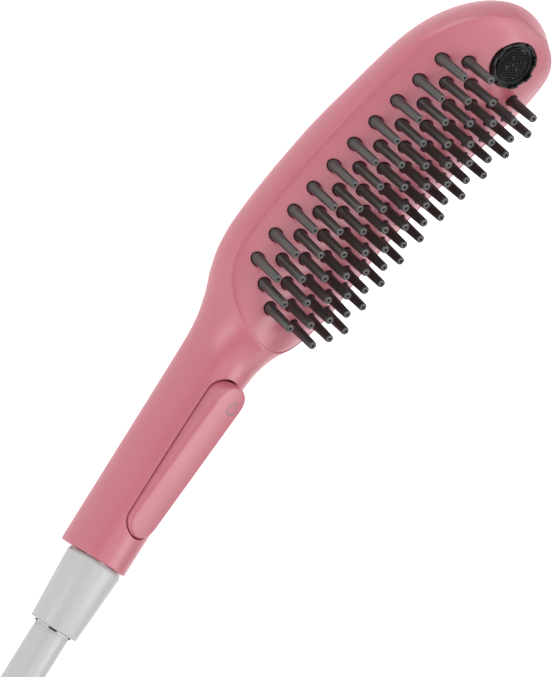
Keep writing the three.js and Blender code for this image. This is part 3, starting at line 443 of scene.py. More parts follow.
def mesh_object(name, points, faces):
    """Object from points in millimetres of the grip's frame; its mesh holds metres."""
    mesh = bpy.data.meshes.new(name)
    mesh.from_pydata(to_shared(points), [], faces)
    return new_object(name, merge(mesh, turn_out=True))


def ring_faces(rings, count, closed=False):
    """Faces between rings of points: a closed loop of rings, or a stack with two ends."""
    faces = []
    for i in range(rings if closed else rings - 1):
        a, b = i * count, (i + 1) % rings * count
        faces += [(a + j, a + (j + 1) % count, b + (j + 1) % count, b + j) for j in range(count)]
    if not closed:
        faces.append(tuple(range(count))[::-1])
        faces.append(tuple(range((rings - 1) * count, rings * count)))
    return faces


def loft(name, rings):
    points = np.concatenate([np.asarray(ring, float) for ring in rings])
    return mesh_object(name, points, ring_faces(len(rings), len(rings[0])))


def stacks(name, rows):
    """One mesh of many lofts, from rings in the head's frame."""
    points, faces = [], []
    for rings in rows:
        start = len(points)
        points += [point for ring in rings for point in ring]
        faces += [tuple(start + i for i in face) for face in ring_faces(len(rings), len(rings[0]))]
    return mesh_object(name, from_head(points), faces)


def circle(x, y, radius, count):
    turns = [k / count * math.tau for k in range(count)]
    return [(x + radius * math.cos(turn), y + radius * math.sin(turn)) for turn in turns]


def spun(out, across, turn):
    """Place that lies out from an axis and across it, turned about that axis."""
    return (
        out * math.cos(turn) - across * math.sin(turn),
        out * math.sin(turn) + across * math.cos(turn),
    )


def rounded(corners, steps):
    """Profile whose (along, out, radius) corners are rounded."""
    points = []
    places = np.array([corner[:2] for corner in corners], float)
    for i, (here, radius) in enumerate(zip(places, [corner[2] for corner in corners])):
        if not radius:
            points.append(here)
            continue
        before, after = places[i - 1] - here, places[(i + 1) % len(places)] - here
        one, two = before / np.linalg.norm(before), after / np.linalg.norm(after)
        half = math.acos(max(-1, min(1, float(one @ two)))) / 2
        reach = radius / math.tan(half)
        middle = (one + two) / np.linalg.norm(one + two)
        centre = here + middle * radius / math.sin(half)
        start, stop = here + one * reach - centre, here + two * reach - centre
        sweep = math.acos(max(-1, min(1, float(start @ stop) / radius**2)))
        for t in (k / steps for k in range(steps + 1)):
            point = math.sin((1 - t) * sweep) * start + math.sin(t * sweep) * stop
            points.append(centre + point / math.sin(sweep))
    return np.array(points)


def turned(name, corners, steps, segments, place=None):
    """Ring-shaped piece about the hose axis, or at a place, from its profile's corners."""
    along, out = rounded(corners, steps).T
    rings = []
    for i in range(segments):
        turn = i / segments * math.tau
        rings.append(np.stack([along, out * math.cos(turn), out * math.sin(turn)], -1))
    points = np.concatenate(rings)
    faces = ring_faces(segments, len(along), closed=True)
    return mesh_object(name, place(points) if place else points, faces)


def rod(name, start, end, radius, segments, place=None):
    turns = np.arange(segments) / segments * math.tau
    rings = []
    for along in (start, end):
        columns = [np.full(segments, along), radius * np.cos(turns), radius * np.sin(turns)]
        ring = np.stack(columns, -1)
        rings.append(place(ring) if place else ring)
    return loft(name, rings)


def bake(obj):
    """Turns a piece with modifiers into its plain mesh."""
    depsgraph = bpy.context.evaluated_depsgraph_get()
    mesh = bpy.data.meshes.new_from_object(obj.evaluated_get(depsgraph))
    obj.modifiers.clear()
    obj.data = mesh


def carve(obj, cutters, operation="DIFFERENCE"):
    """Takes the cutters out of a piece, and the cutters away."""
    for cutter in cutters:
        step = obj.modifiers.new("carve", "BOOLEAN")
        step.operation = operation
        step.solver = "MANIFOLD"
        step.object = cutter
    bake(obj)
    for cutter in cutters:
        bpy.data.objects.remove(cutter, do_unlink=True)


def join(obj, other):
    """Puts another piece's mesh into this one."""
    bm = bmesh.new()
    bm.from_mesh(obj.data)
    bm.from_mesh(other.data)
    bm.to_mesh(obj.data)
    bm.free()
    bpy.data.objects.remove(other, do_unlink=True)


def finish_piece(obj, body, nodes, look, angle=32):
    """Gives a piece its finish and its body, and hides the nodes that it stands for."""
    obj.data.validate()
    obj.data.materials.clear()
    obj.data.materials.append(finish(look))
    obj.data.shade_smooth()
    obj.data.set_sharp_from_angle(angle=math.radians(angle))
    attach(obj, body)
    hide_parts(*nodes)


def stadium(start, end, half_width, steps=24):
    """Outline with two straight sides and two round ends, its long sides divided."""
    corners = []
    for centre, first in ((end - half_width, -math.pi / 2), (start + half_width, math.pi / 2)):
        for i in range(steps + 1):
            turn = first + math.pi * i / steps
            corners.append((centre + half_width * math.cos(turn), half_width * math.sin(turn)))
    outline = []
    for here, after in zip(corners, corners[1:] + corners[:1]):
        count = max(1, int(math.dist(here, after) / OUTLINE_STEP))
        for t in (k / count for k in range(count)):
            outline.append((here[0] + (after[0] - here[0]) * t, here[1] + (after[1] - here[1]) * t))
    return outline


# Finishes, and the node groups that they share


def add(tree, kind, values=None, **settings):
    """New node with its settings, and values on its inputs."""
    node = tree.nodes.new(kind)
    for name, value in settings.items():
        setattr(node, name, value)
    for socket, value in (values or {}).items():
        node.inputs[socket].default_value = value
    return node


def wire(tree, *rows):
    """Links of a tree, each a node, its output, the next node and its input."""
    for source, output, target, socket in rows:
        tree.links.new(source.outputs[output], target.inputs[socket])


def new_group(name, inputs, outputs):
    """Shader group whose sockets are numbers, and colours where they are called Colour."""
    group = bpy.data.node_groups.new(name, "ShaderNodeTree")

    def socket(label, way):
        kind = "NodeSocketColor" if label == "Colour" else "NodeSocketFloat"
        return group.interface.new_socket(label, in_out=way, socket_type=kind)

    for label, default in inputs.items():
        socket(label, "INPUT").default_value = default
    for label in outputs:
        socket(label, "OUTPUT")
    return group, group.nodes.new("NodeGroupInput"), group.nodes.new("NodeGroupOutput")


def grain_group():
    """Fine texture of a moulded surface: height, and a mask of slow drift over the piece."""
    sizes = {"Grain size": 1800.0, "Drift size": 30.0}
    group, start, end = new_group("Moulded grain", sizes, ["Height", "Drift"])
    coords = add(group, "ShaderNodeTexCoord")
    fine = add(group, "ShaderNodeTexNoise", {"Detail": 3})
    slow = add(group, "ShaderNodeTexNoise", {"Detail": 2})
    wire(
        group,
        (coords, "Object", fine, "Vector"),
        (coords, "Object", slow, "Vector"),
        (start, "Grain size", fine, "Scale"),
        (start, "Drift size", slow, "Scale"),
        (fine, "Fac", end, "Height"),
        (slow, "Fac", end, "Drift"),
    )


def tone_group():
    """Colour that drifts a little lighter and darker with a mask."""
    inputs = {"Colour": (0.5, 0.5, 0.5, 1), "Mask": 0.5, "Amount": 0.06}
    group, start, end = new_group("Tone drift", inputs, ["Colour"])
    centred = add(group, "ShaderNodeMath", {1: 0.5}, operation="SUBTRACT")
    span = add(group, "ShaderNodeMath", {2: 1.0}, operation="MULTIPLY_ADD")
    tint = add(group, "ShaderNodeVectorMath", operation="SCALE")
    wire(
        group,
        (start, "Mask", centred, 0),
        (centred, 0, span, 0),
        (start, "Amount", span, 1),
        (start, "Colour", tint, 0),
        (span, 0, tint, "Scale"),
        (tint, 0, end, "Colour"),
    )


def scuff_group():
    """Mask of short fine rubs from handling, in patches."""
    group, start, end = new_group("Handling rubs", {"Size": 90.0, "Strength": 1.0}, ["Mask"])
    coords = add(group, "ShaderNodeTexCoord")
    stretch = add(group, "ShaderNodeMapping", {"Scale": (0.25, 2.2, 1.4)})
    rubs = add(group, "ShaderNodeTexNoise", {"Detail": 6, "Roughness": 0.7})
    patches = add(group, "ShaderNodeTexNoise", {"Scale": 22})
    sharp = add(group, "ShaderNodeMapRange", {"From Min": 0.56, "From Max": 0.74})
    wide = add(group, "ShaderNodeMapRange", {"From Min": 0.45, "From Max": 0.7})
    both = add(group, "ShaderNodeMath", operation="MULTIPLY")
    scaled = add(group, "ShaderNodeMath", operation="MULTIPLY")
    wire(
        group,
        (coords, "Object", stretch, "Vector"),
        (stretch, "Vector", rubs, "Vector"),
        (start, "Size", rubs, "Scale"),
        (coords, "Object", patches, "Vector"),
        (rubs, "Fac", sharp, "Value"),
        (patches, "Fac", wide, "Value"),
        (sharp, "Result", both, 0),
        (wide, "Result", both, 1),
        (both, 0, scaled, 0),
        (start, "Strength", scaled, 1),
        (scaled, 0, end, "Mask"),
    )


# Each finish: its material's name, its colour in ShowerLooks, roughness (None for the satin that
# ShowerLooks holds), grain size, relief in metres, drift, rubs, metallic and specular level
FINISHES = {
    "pink_plastic": ("Pink plastic", "pink", None, 1800, 2e-5, 0.05, 0.06, 0, 0.9),
    "grey_silicone": ("Grey silicone", "silicone", 0.36, 2600, 1e-5, 0.05, 0.04, 0, 0.5),
    "black_plastic": ("Black plastic", "black", 0.36, 1800, 2e-5, 0.05, 0.08, 0, 0.2),
    "silver_plastic": ("Silver grey plastic", "silver", 0.36, 1800, 1e-5, 0.05, 0.05, 0, 1),
    "silver_hose": ("Silver grey hose", "silver", 0.36, 900, 2e-5, 0.05, 0.05, 0, 1),
    "white_plastic": ("Natural white plastic", "white", 0.5, 1800, 2e-5, 0.05, 0.08, 0, 0.5),
    "bright_steel": ("Bright steel", "steel", 0.28, 3200, 2e-5, 0.04, 0.06, 1, 0.5),
    "plated_brass": ("Plated brass", "plating", 0.2, 3200, 2e-5, 0.04, 0.06, 1, 0.5),
    "print_ink": ("Grey print", "ink", 0.5, 1800, 5e-6, 0.05, 0.06, 0, 0.5),
    "black_rubber": ("Black rubber", "rubber", 0.75, 2200, 5e-5, 0.05, 0.06, 0, 0.2),
}
ROUGHNESS_DRIFT = 0.05


def finish(look):
    """Moulded or drawn finish: colour drift, fine grain and faint rubs."""
    label, colour, roughness, grain, relief, drift, rub, metallic, specular = FINISHES[look]
    if label in bpy.data.materials:
        return bpy.data.materials[label]
    looks = bpy.context.scene.shower_looks
    groups = bpy.data.node_groups
    if "Moulded grain" not in groups:
        grain_group()
        tone_group()
        scuff_group()
    if roughness is None:
        roughness = looks.satin
    material = bpy.data.materials.new(label)
    material.use_nodes = True
    tree = material.node_tree
    surface = tree.nodes["Principled BSDF"]
    surface.inputs["Metallic"].default_value = metallic
    surface.inputs["Specular IOR Level"].default_value = specular
    kind = "ShaderNodeGroup"
    texture = add(tree, kind, {"Grain size": grain}, node_tree=groups["Moulded grain"])
    tint = (*getattr(looks, colour), 1)
    tone = add(tree, kind, {"Colour": tint, "Amount": drift}, node_tree=groups["Tone drift"])
    rubs = add(tree, kind, {"Strength": rub}, node_tree=groups["Handling rubs"])
    low, high = max(0.02, roughness - ROUGHNESS_DRIFT), min(1.0, roughness + ROUGHNESS_DRIFT)
    level = add(tree, "ShaderNodeMapRange", {"To Min": low, "To Max": high})
    worn = add(tree, "ShaderNodeMath", operation="ADD")
    bump = add(tree, "ShaderNodeBump", {"Distance": relief})
    wire(
        tree,
        (texture, "Drift", tone, "Mask"),
        (tone, "Colour", surface, "Base Color"),
        (texture, "Drift", level, "Value"),
        (level, "Result", worn, 0),
        (rubs, "Mask", worn, 1),
        (worn, 0, surface, "Roughness"),
        (texture, "Height", bump, "Height"),
        (bump, "Normal", surface, "Normal"),
    )
    return material


# Sizes and colours that a user would change


def length_setting(name, description, default):
    return FloatProperty(name=name, description=description, default=default, unit="LENGTH")


def colour_setting(name, description, default):
    return FloatVectorProperty(
        name=name, description="Colour of " + description, subtype="COLOR", default=default
    )


class ShowerSizes(bpy.types.PropertyGroup):
    """Sizes of the visible rounding and detail"""

    slot_rounding: length_setting("Slot rounding", "Radius of the edge of the lever's slot", 0.00035)
    hole_rounding: length_setting("Hole rounding", "Radius of the edge round each nozzle hole", 0.00035)
    end_rounding: length_setting("End rounding", "Radius of the rim at the grip's hose end", 0.0004)
    nozzle_sides: IntProperty(
        name="Nozzle sides", description="Sides of each round nozzle", default=24, min=8
    )


class ShowerLooks(bpy.types.PropertyGroup):
    """Colours and surface of the finishes"""

    pink: colour_setting("Pink", "the body, face and lever", (0.49, 0.113, 0.153))
    satin: FloatProperty(
        name="Satin",
        description="Roughness of the pink plastic",
        subtype="FACTOR",
        default=0.36,
        min=0,
        max=1,
    )
    silicone: colour_setting("Silicone", "the nozzles", (0.044, 0.04, 0.039))
    black: colour_setting("Black", "the aerator", (0.008, 0.0085, 0.0085))
    silver: colour_setting("Silver grey", "the nut and hose", (0.48, 0.48, 0.48))
    white: colour_setting("White", "the inner plastic", (0.78, 0.78, 0.75))
    steel: colour_setting("Steel", "pins and springs", (0.56, 0.57, 0.58))
    plating: colour_setting("Plating", "the plated thread", (0.72, 0.72, 0.73))
    ink: colour_setting("Print", "the drop outline on the lever", (0.2, 0.19, 0.192))
    rubber: colour_setting("Rubber", "seals and washers", (0.018, 0.018, 0.018))


# Stage

LENS = 183.387
SENSOR_WIDTH = 36
CAMERA_REACH = 20
# The camera's place in the grip's frame, in millimetres, and the way it looks
CAMERA_PLACE = np.array([-29.097, 911.508, 1053.4])
CAMERA_RIGHT = Vector((0.52647402, -0.59993909, 0.60241032))
CAMERA_UP = Vector((0.84398478, 0.45425473, -0.28520576))
CAMERA_BACK = Vector((-0.10254165, 0.65857857, 0.74549278))
FLOOR_REACH = 4
FLOOR_TONE = 0.86
FLOOR_GLOW = 0.9
SKY_LIGHT = 0.04
SOFTBOX_SIZE = 0.7
SOFTBOX_REACH = 1.2
SOFTBOX_TARGET = Vector((0.0, 0.0, 0.04))
# Each softbox: name, degrees round from the tip's side, degrees up, watts
SOFTBOXES = [
    ("Far softbox", 60, 6, 5.9),
    ("Left softbox", 120, 6, 4.4),
    ("Left low softbox", 150, 6, 1.9),
    ("Low softbox", 180, 6, 3.6),
    ("Low high softbox", 180, 65, 1.6),
    ("Near softbox", 240, 32, 1.8),
    ("Near high softbox", 270, 65, 5.1),
    ("Tip softbox", 330, 32, 2.1),
    ("Tip high softbox", 0, 65, 3.4),
    ("Back high softbox", 90, 65, 1.8),
]


def background_rays(tree):
    """Node that is 1 for rays of the camera, of gloss and of glass."""
    path = add(tree, "ShaderNodeLightPath")
    seen = add(tree, "ShaderNodeMath", operation="MAXIMUM")
    clear = add(tree, "ShaderNodeMath", operation="MAXIMUM")
    wire(
        tree,
        (path, "Is Camera Ray", seen, 0),
        (path, "Is Glossy Ray", seen, 1),
        (seen, 0, clear, 0),
        (path, "Is Transmission Ray", clear, 1),
    )
    return clear


class SHOWER_OT_stage(bpy.types.Operator):
    """Sets the camera, the pale floor and the soft studio light"""

    bl_idname = "shower.stage"
    bl_label = "Stage"

    def execute(self, context):
        scene = context.scene
        scene.view_settings.view_transform = "Standard"
        camera = new_object("Camera", bpy.data.cameras.new("Camera"))
        camera.data.lens = LENS
        camera.data.sensor_width = SENSOR_WIDTH
        camera.data.clip_end = CAMERA_REACH
        turn = Matrix((CAMERA_RIGHT, CAMERA_UP, CAMERA_BACK)).transposed().to_4x4()
        place = Matrix.Translation(Vector((GRIP + CAMERA_PLACE) * MM))
        camera.matrix_world = place @ turn
        scene.camera = camera
        self.floor()
        self.world(scene)
        for name, around, above, power in SOFTBOXES:
            self.lamp(name, math.radians(around), math.radians(above), power)
        return {"FINISHED"}

    def floor(self):
        mesh = bpy.data.meshes.new("Floor")
        signs = ((-1, -1), (1, -1), (1, 1), (-1, 1))
        corners = [(x * FLOOR_REACH, y * FLOOR_REACH, 0) for x, y in signs]
        mesh.from_pydata(corners, [], [(0, 1, 2, 3)])
        material = bpy.data.materials.new("Pale floor")
        material.use_nodes = True
        tree = material.node_tree
        surface = tree.nodes["Principled BSDF"]
        surface.inputs["Base Color"].default_value = (FLOOR_TONE, FLOOR_TONE, FLOOR_TONE, 1)
        surface.inputs["Roughness"].default_value = 0.9
        surface.inputs["Specular IOR Level"].default_value = 0.0
        surface.inputs["Emission Color"].default_value = (1, 1, 1, 1)
        clear = background_rays(tree)
        glow = add(tree, "ShaderNodeMath", {1: FLOOR_GLOW}, operation="MULTIPLY")
        wire(tree, (clear, 0, glow, 0), (glow, 0, surface, "Emission Strength"))
        mesh.materials.append(material)
        new_object("Floor", mesh)

    def world(self, scene):
        world = bpy.data.worlds.new("Studio")
        world.use_nodes = True
        scene.world = world
        tree = world.node_tree
        sky = tree.nodes["Background"]
        sky.inputs["Color"].default_value = (1, 1, 1, 1)
        clear = background_rays(tree)
        level = add(tree, "ShaderNodeMapRange", {"To Min": SKY_LIGHT, "To Max": 1.0})
        wire(tree, (clear, 0, level, "Value"), (level, "Result", sky, "Strength"))

    def lamp(self, name, around, above, power):
        light = bpy.data.lights.new(name, "AREA")
        light.shape = "SQUARE"
        light.size = SOFTBOX_SIZE
        light.energy = power
        flat = math.cos(above)
        way = Vector((flat * math.cos(around), flat * math.sin(around), math.sin(above)))
        turn = way.to_track_quat("Z", "Y").to_matrix().to_4x4()
        place = Matrix.Translation(SOFTBOX_TARGET + way * SOFTBOX_REACH)
        new_object(name, light).matrix_world = place @ turn


# Hose


HANK_START = HOSE_START - LEAD_LENGTH - GAP
FOLD_LENGTH = math.pi * FOLD_RADIUS
TURN_LENGTH = (HANK_RUN + FOLD_LENGTH) * 2
HANK_LENGTH = HOSE_LENGTH - LEAD_LENGTH - GAP
LEVEL_PITCH = HOSE_RADIUS * 2 + GAP


def hank_point(along):
    """Place on the folded hose: two runs and two folds a turn, and the turns on each other."""
    turns = math.floor(along / TURN_LENGTH)
    place = along - turns * TURN_LENGTH
    fold = HANK_RUN + FOLD_LENGTH
    second_run = fold + HANK_RUN
    if place > second_run:
        angle = (place - second_run) / FOLD_RADIUS
        x, y = HANK_START + FOLD_RADIUS * math.sin(angle), -FOLD_RADIUS * (1 + math.cos(angle))
    elif place > fold:
        x, y = HANK_START - HANK_RUN + place - fold, -FOLD_RADIUS * 2
    elif place > HANK_RUN:
        angle = (place - HANK_RUN) / FOLD_RADIUS
        x = HANK_START - HANK_RUN - FOLD_RADIUS * math.sin(angle)
        y = FOLD_RADIUS * (math.cos(angle) - 1)
    else:
        x, y = HANK_START - place, 0.0
    climbed = ease(place, fold + CLIMB_START, TURN_LENGTH - CLIMB_END)
    last_run = HANK_LEVELS * TURN_LENGTH
    lifted = ease(along, last_run + HANK_RUN, last_run + fold)
    from_tie = abs(place - HANK_RUN / 2) * RUN_STEPS / HANK_RUN
    hump = (TIE_WALL + GAP) * ease(2 - from_tie, 0, 1)
    level = (turns + climbed) * LEVEL_PITCH
    return np.array([x, y, TABLE_Z + HOSE_RADIUS + level + TAIL_LIFT * lifted + hump])


def hose_points():
    """The hose's route: out of the nut, down to the table, and through the hank to its far end."""
    drop = -TABLE_Z - HOSE_RADIUS
    points = []
    for i in range(LEAD_STEPS + 1):
        along = LEAD_LENGTH * i / LEAD_STEPS
        fallen = drop * ease(along, LEAD_STRAIGHT, LEAD_LENGTH - LEAD_SETTLED)
        points.append(np.array([HOSE_START - along, 0, -fallen]))
    places = []
    for turn in range(HANK_LEVELS + 1):
        for half in (0, 1):
            start = turn * TURN_LENGTH + half * TURN_LENGTH / 2
            places += [start + HANK_RUN * i / RUN_STEPS for i in range(RUN_STEPS)]
            places += [start + HANK_RUN + FOLD_LENGTH * i / FOLD_STEPS for i in range(FOLD_STEPS)]
    places = [place for place in places if 1 < place < HANK_LENGTH - HOSE_RADIUS]
    return points + [hank_point(place) for place in places + [HANK_LENGTH]]


class SHOWER_OT_hose(bpy.types.Operator):
    """Makes the smooth grey hose, from the conical nut to its coil and tap nut"""

    bl_idname = "shower.hose"
    bl_label = "Hose"

    def execute(self, context):
        curve = bpy.data.curves.new("hose", "CURVE")
        curve.dimensions = "3D"
        curve.bevel_depth = HOSE_RADIUS * MM
        curve.bevel_resolution = 10
        curve.resolution_u = 6
        curve.use_fill_caps = True
        points = to_shared(hose_points())
        spline = curve.splines.new("BEZIER")
        spline.bezier_points.add(len(points) - 1)
        for knot, point in zip(spline.bezier_points, points):
            knot.co = point
            knot.handle_left_type = knot.handle_right_type = "AUTO"
        hose = new_object("hose", curve)
        curve.materials.append(finish("silver_hose"))
        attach(hose, "grip")
        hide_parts("hose_lead", "hose_coil")
        return {"FINISHED"}


# Body


def edge_rows(radius, first, steps):
    """Rows of a cutter that leaves a small round edge: how far out, and how far up."""
    rows = [(0.0, None), (0.0, -radius)]
    for turn in np.linspace(first, math.pi / 2, steps):
        rows.append((radius * (1 - math.cos(turn)), -radius + radius * math.sin(turn)))
    return rows + [(radius, 1.0)]


def slot_cutter(radius):
    """Slot with a small round edge where it meets the grip's front."""
    base = stadium(SLOT_START, SLOT_END, SLOT_HALF_WIDTH)
    rings = []
    for out, rise in edge_rows(radius, 0.2, 6):
        ring = []
        for x, y in base:
            centre = min(max(x, SLOT_START + SLOT_HALF_WIDTH), SLOT_END - SLOT_HALF_WIDTH)
            away = np.array([x - centre, y])
            away = away / np.linalg.norm(away)
            px, py = x + away[0] * out, y + away[1] * out
            ring.append((px, py, SLOT_FLOOR if rise is None else front_height(px, py) + rise))
        rings.append(ring)
    return loft("slot cutter", rings)


def face_layer(name, inset, top, bottom, across=24, along=90, groove=0.0):
    """Closed layer between two depths below the face, with a shallow groove along its outline."""
    turns = np.linspace(0, math.pi / 2, END_STEPS + 1)
    places = list(-FIELD_HALF - (FACE_TAIL - inset - FIELD_HALF) * np.cos(turns[:-1]))
    places += list(np.linspace(-FIELD_HALF, FIELD_HALF, along))
    places += list(FIELD_HALF + (FACE_TIP - inset - FIELD_HALF) * np.sin(turns[1:]))
    rings = []
    for x in places:
        half = face_width(x, inset)
        before = face_width(max(x - PROBE, inset - FACE_TAIL), inset)
        after = face_width(min(x + PROBE, FACE_TIP - inset), inset)
        slant = math.sqrt(1 + ((after - before) / (PROBE * 2)) ** 2)
        rows = [half] + [half - min(away * slant, half * away / 6) for away in GROOVE_STEPS]
        rows += [rows[-1] * (1 - 2 * i / across) for i in range(1, across)]
        rows += [-y for y in rows[: len(GROOVE_STEPS) + 1][::-1]]
        deep = groove * (1 - ease(x, GROOVE_FADES, AERATOR_STATION))
        ring = []
        for depth, way in ((top, 1), (bottom, -1)):
            for y in rows:
                inside = min(1.0, (half - abs(y)) / slant / GROOVE_STEPS[-1])
                dip = deep * (1 - inside) ** 2 if way > 0 else 0
                ring.append((x, y * way, face_height(x, y) - depth - dip))
        rings.append(from_head(ring))
    return loft(name, rings)


def across_at_pin(points):
    return np.stack([PIN_STATION + points[:, 1], points[:, 0], PIN_HEIGHT + points[:, 2]], -1)


class SHOWER_OT_body(bpy.types.Operator):
    """Makes the pink shell: grip, neck and head in one"""

    bl_idname = "shower.body"
    bl_label = "Body shell"

    def execute(self, context):
        sizes = context.scene.shower_sizes
        end = sizes.end_rounding / MM
        rings = []
        for t in np.linspace(0, math.pi / 2, 6)[:-1]:
            ring = np.array(body_section(end * (1 - math.cos(t)), 0, 0, *SHELL_STEPS))
            spread = ring[:, 1:] - np.array([0, middle_profile(0)])
            length = np.linalg.norm(spread, axis=1)[:, None]
            ring[:, 1:] -= spread / length * end * (1 - math.sin(t))
            rings.append(ring)
        places = body_stations(end, 0, *SHELL_STATIONS)
        rings += [body_section(x, 0, 0, *SHELL_STEPS) for x in places]
        shell = loft("body_shell", rings)
        places = body_stations(END_WALL, WALL, *CAVITY_STATIONS)
        hollow = [body_section(x, WALL, PLATE_WALL + GAP, *CAVITY_STEPS) for x in places]
        pin_half = SLOT_HALF_WIDTH + PIN_SEAT
        cutters = [
            loft("cavity", hollow),
            face_layer("pocket", RIM_LAND, -FACE_HALF_WIDTH, PLATE_WALL + GAP),
            rod("inlet", -CUT, END_WALL + CUT, TAIL_RADIUS + GAP, 48),
            slot_cutter(sizes.slot_rounding / MM),
            rod("pin bore", -pin_half, pin_half, PIN_RADIUS + GAP, 24, across_at_pin),
        ]
        carve(shell, cutters)
        finish_piece(shell, "grip", ["body_shell"], "pink_plastic")
        return {"FINISHED"}


# Face


def nozzle_places():
    """Places on the face: a middle column, and three columns on each side of it."""
    places = []
    for column, count in enumerate(COLUMN_COUNTS):
        for i in range(count):
            x = (COLUMN_STARTS[column] + i) * NOZZLE_PITCH
            places.append((x, column * COLUMN_PITCH))
            if column:
                places.append((x, -column * COLUMN_PITCH))
    return places


def hole_rings(x, y, radius, edge, segments):
    """Cutter for one hole of the face, with a small round edge that follows the face."""
    rings = []
    for out, rise in edge_rows(edge, 0.3, 4) + [(edge, HOLE_CUT)]:
        low = face_height(x, y) - PLATE_WALL - CUT
        ring = circle(x, y, radius + out, segments)
        rings.append([(*p, low if rise is None else face_height(*p) + rise) for p in ring])
    return rings


class SHOWER_OT_face(bpy.types.Operator):
    """Makes the dished pink plate with a hole for each nozzle and for the aerator"""

    bl_idname = "shower.face"
    bl_label = "Face plate"

    def execute(self, context):
        edge = context.scene.shower_sizes.hole_rounding / MM
        inset = RIM_LAND + SEAM
        plate = face_layer("face_plate", inset, 0, PLATE_WALL, 36, 120, GROOVE_DEPTH)
        holes = [hole_rings(x, y, NOZZLE_HOLE, edge, 32) for x, y in nozzle_places()]
        holes.append(hole_rings(AERATOR_STATION, 0, AERATOR_RADIUS + GAP, edge, 96))
        carve(plate, [stacks("holes", holes)])
        finish_piece(plate, "grip", ["face_plate"], "pink_plastic")
        return {"FINISHED"}


# Nozzles

# Half section of a nozzle from the mat up: height over the face, radius
NOZZLE_PROFILE = [
    (-3.4, 2.45),
    (0.0, 2.42),
    (0.5, 2.36),
    (1.1, 2.26),
    (1.9, 2.17),
    (3.0, 2.1),
    (5.0, 2.05),
    (NOZZLE_LENGTH - 0.75, 1.78),
    (NOZZLE_LENGTH - 0.45, 1.74),
    (NOZZLE_LENGTH - 0.2, 1.66),
    (NOZZLE_LENGTH - 0.05, 1.54),
    (NOZZLE_LENGTH, 1.42),
    (NOZZLE_LENGTH, 0.62),
    (NOZZLE_LENGTH - 0.18, 0.5),
    (NOZZLE_LENGTH - 1.2, 0.5),
    (NOZZLE_LENGTH - 1.6, NOZZLE_BORE),
    (-4.8, NOZZLE_BORE),
]


def small_piece(name, profile, sides, closed):
    """Small round piece at the origin: from a closed profile, or from one between rim and tip."""
    count = len(profile)
    verts, faces = [], []
    for i in range(sides):
        turn = i / sides * math.tau
        verts += [(r * math.cos(turn) * MM, r * math.sin(turn) * MM, h * MM) for h, r in profile]
        a, b = i * count, (i + 1) % sides * count
        for j in range(count if closed else count - 1):
            k = (j + 1) % count
            faces.append((a + j, b + j, b + k, a + k))
    if not closed:
        faces.append(tuple(i * count for i in range(sides))[::-1])
    mesh = bpy.data.meshes.new(name)
    mesh.from_pydata(verts, [], faces)
    return new_object(name, mesh if closed else merge(mesh))


def placed_tree(name, seed):
    """Node tree that stands one piece on every point of a mesh, each turned about its own axis."""
    tree = bpy.data.node_groups.new(name, "GeometryNodeTree")
    tree.is_modifier = True
    kinds = {
        "Places": "Geometry",
        "Piece": "Object",
        "Size": "Float",
        "Spin": "Float",
        "Finish": "Material",
    }
    face = tree.interface
    sockets = {}
    for label, kind in kinds.items():
        sockets[label] = face.new_socket(label, in_out="INPUT", socket_type="NodeSocket" + kind)
    sockets["Size"].default_value = 1.0
    sockets["Spin"].subtype = "ANGLE"
    face.new_socket("Pieces", in_out="OUTPUT", socket_type="NodeSocketGeometry")
    start = add(tree, "NodeGroupInput")
    end = add(tree, "NodeGroupOutput")
    piece = add(tree, "GeometryNodeObjectInfo", transform_space="ORIGINAL")
    points = add(tree, "GeometryNodeMeshToPoints")
    stand = add(tree, "GeometryNodeInstanceOnPoints")
    turn = add(tree, "FunctionNodeRandomValue", {"Seed": seed}, data_type="FLOAT")
    angle = add(tree, "ShaderNodeCombineXYZ")
    lean = add(tree, "FunctionNodeEulerToRotation", {0: (0, -HEAD_LEAN, 0)})
    own = add(tree, "FunctionNodeEulerToRotation")
    spin = add(tree, "FunctionNodeRotateRotation", rotation_space="LOCAL")
    real = add(tree, "GeometryNodeRealizeInstances")
    coat = add(tree, "GeometryNodeSetMaterial")
    wire(
        tree,
        (start, "Piece", piece, "Object"),
        (start, "Places", points, "Mesh"),
        (points, "Points", stand, "Points"),
        (piece, "Geometry", stand, "Instance"),
        (start, "Spin", turn, "Max"),
        (turn, 1, angle, "Z"),
        (angle, 0, own, 0),
        (lean, 0, spin, "Rotation"),
        (own, 0, spin, "Rotate By"),
        (spin, 0, stand, "Rotation"),
        (start, "Size", stand, "Scale"),
        (stand, "Instances", real, "Geometry"),
        (real, "Geometry", coat, "Geometry"),
        (start, "Finish", coat, "Material"),
        (coat, "Geometry", end, "Pieces"),
    )
    return tree


def stand_pieces(name, piece, places, tree, spin, look):
    """Stands a piece on many places of the grip's frame, and takes the piece away."""
    mesh = bpy.data.meshes.new(name)
    mesh.from_pydata(to_shared(places), [], [])
    stand = new_object(name, mesh)
    step = stand.modifiers.new(name, "NODES")
    step.node_group = tree
    inputs = {"Piece": piece, "Size": 1.0, "Spin": spin, "Finish": finish(look)}
    for item in tree.interface.items_tree:
        if item.item_type == "SOCKET" and item.in_out == "INPUT" and item.name in inputs:
            step[item.identifier] = inputs[item.name]
    bake(stand)
    bpy.data.objects.remove(piece, do_unlink=True)
    return stand


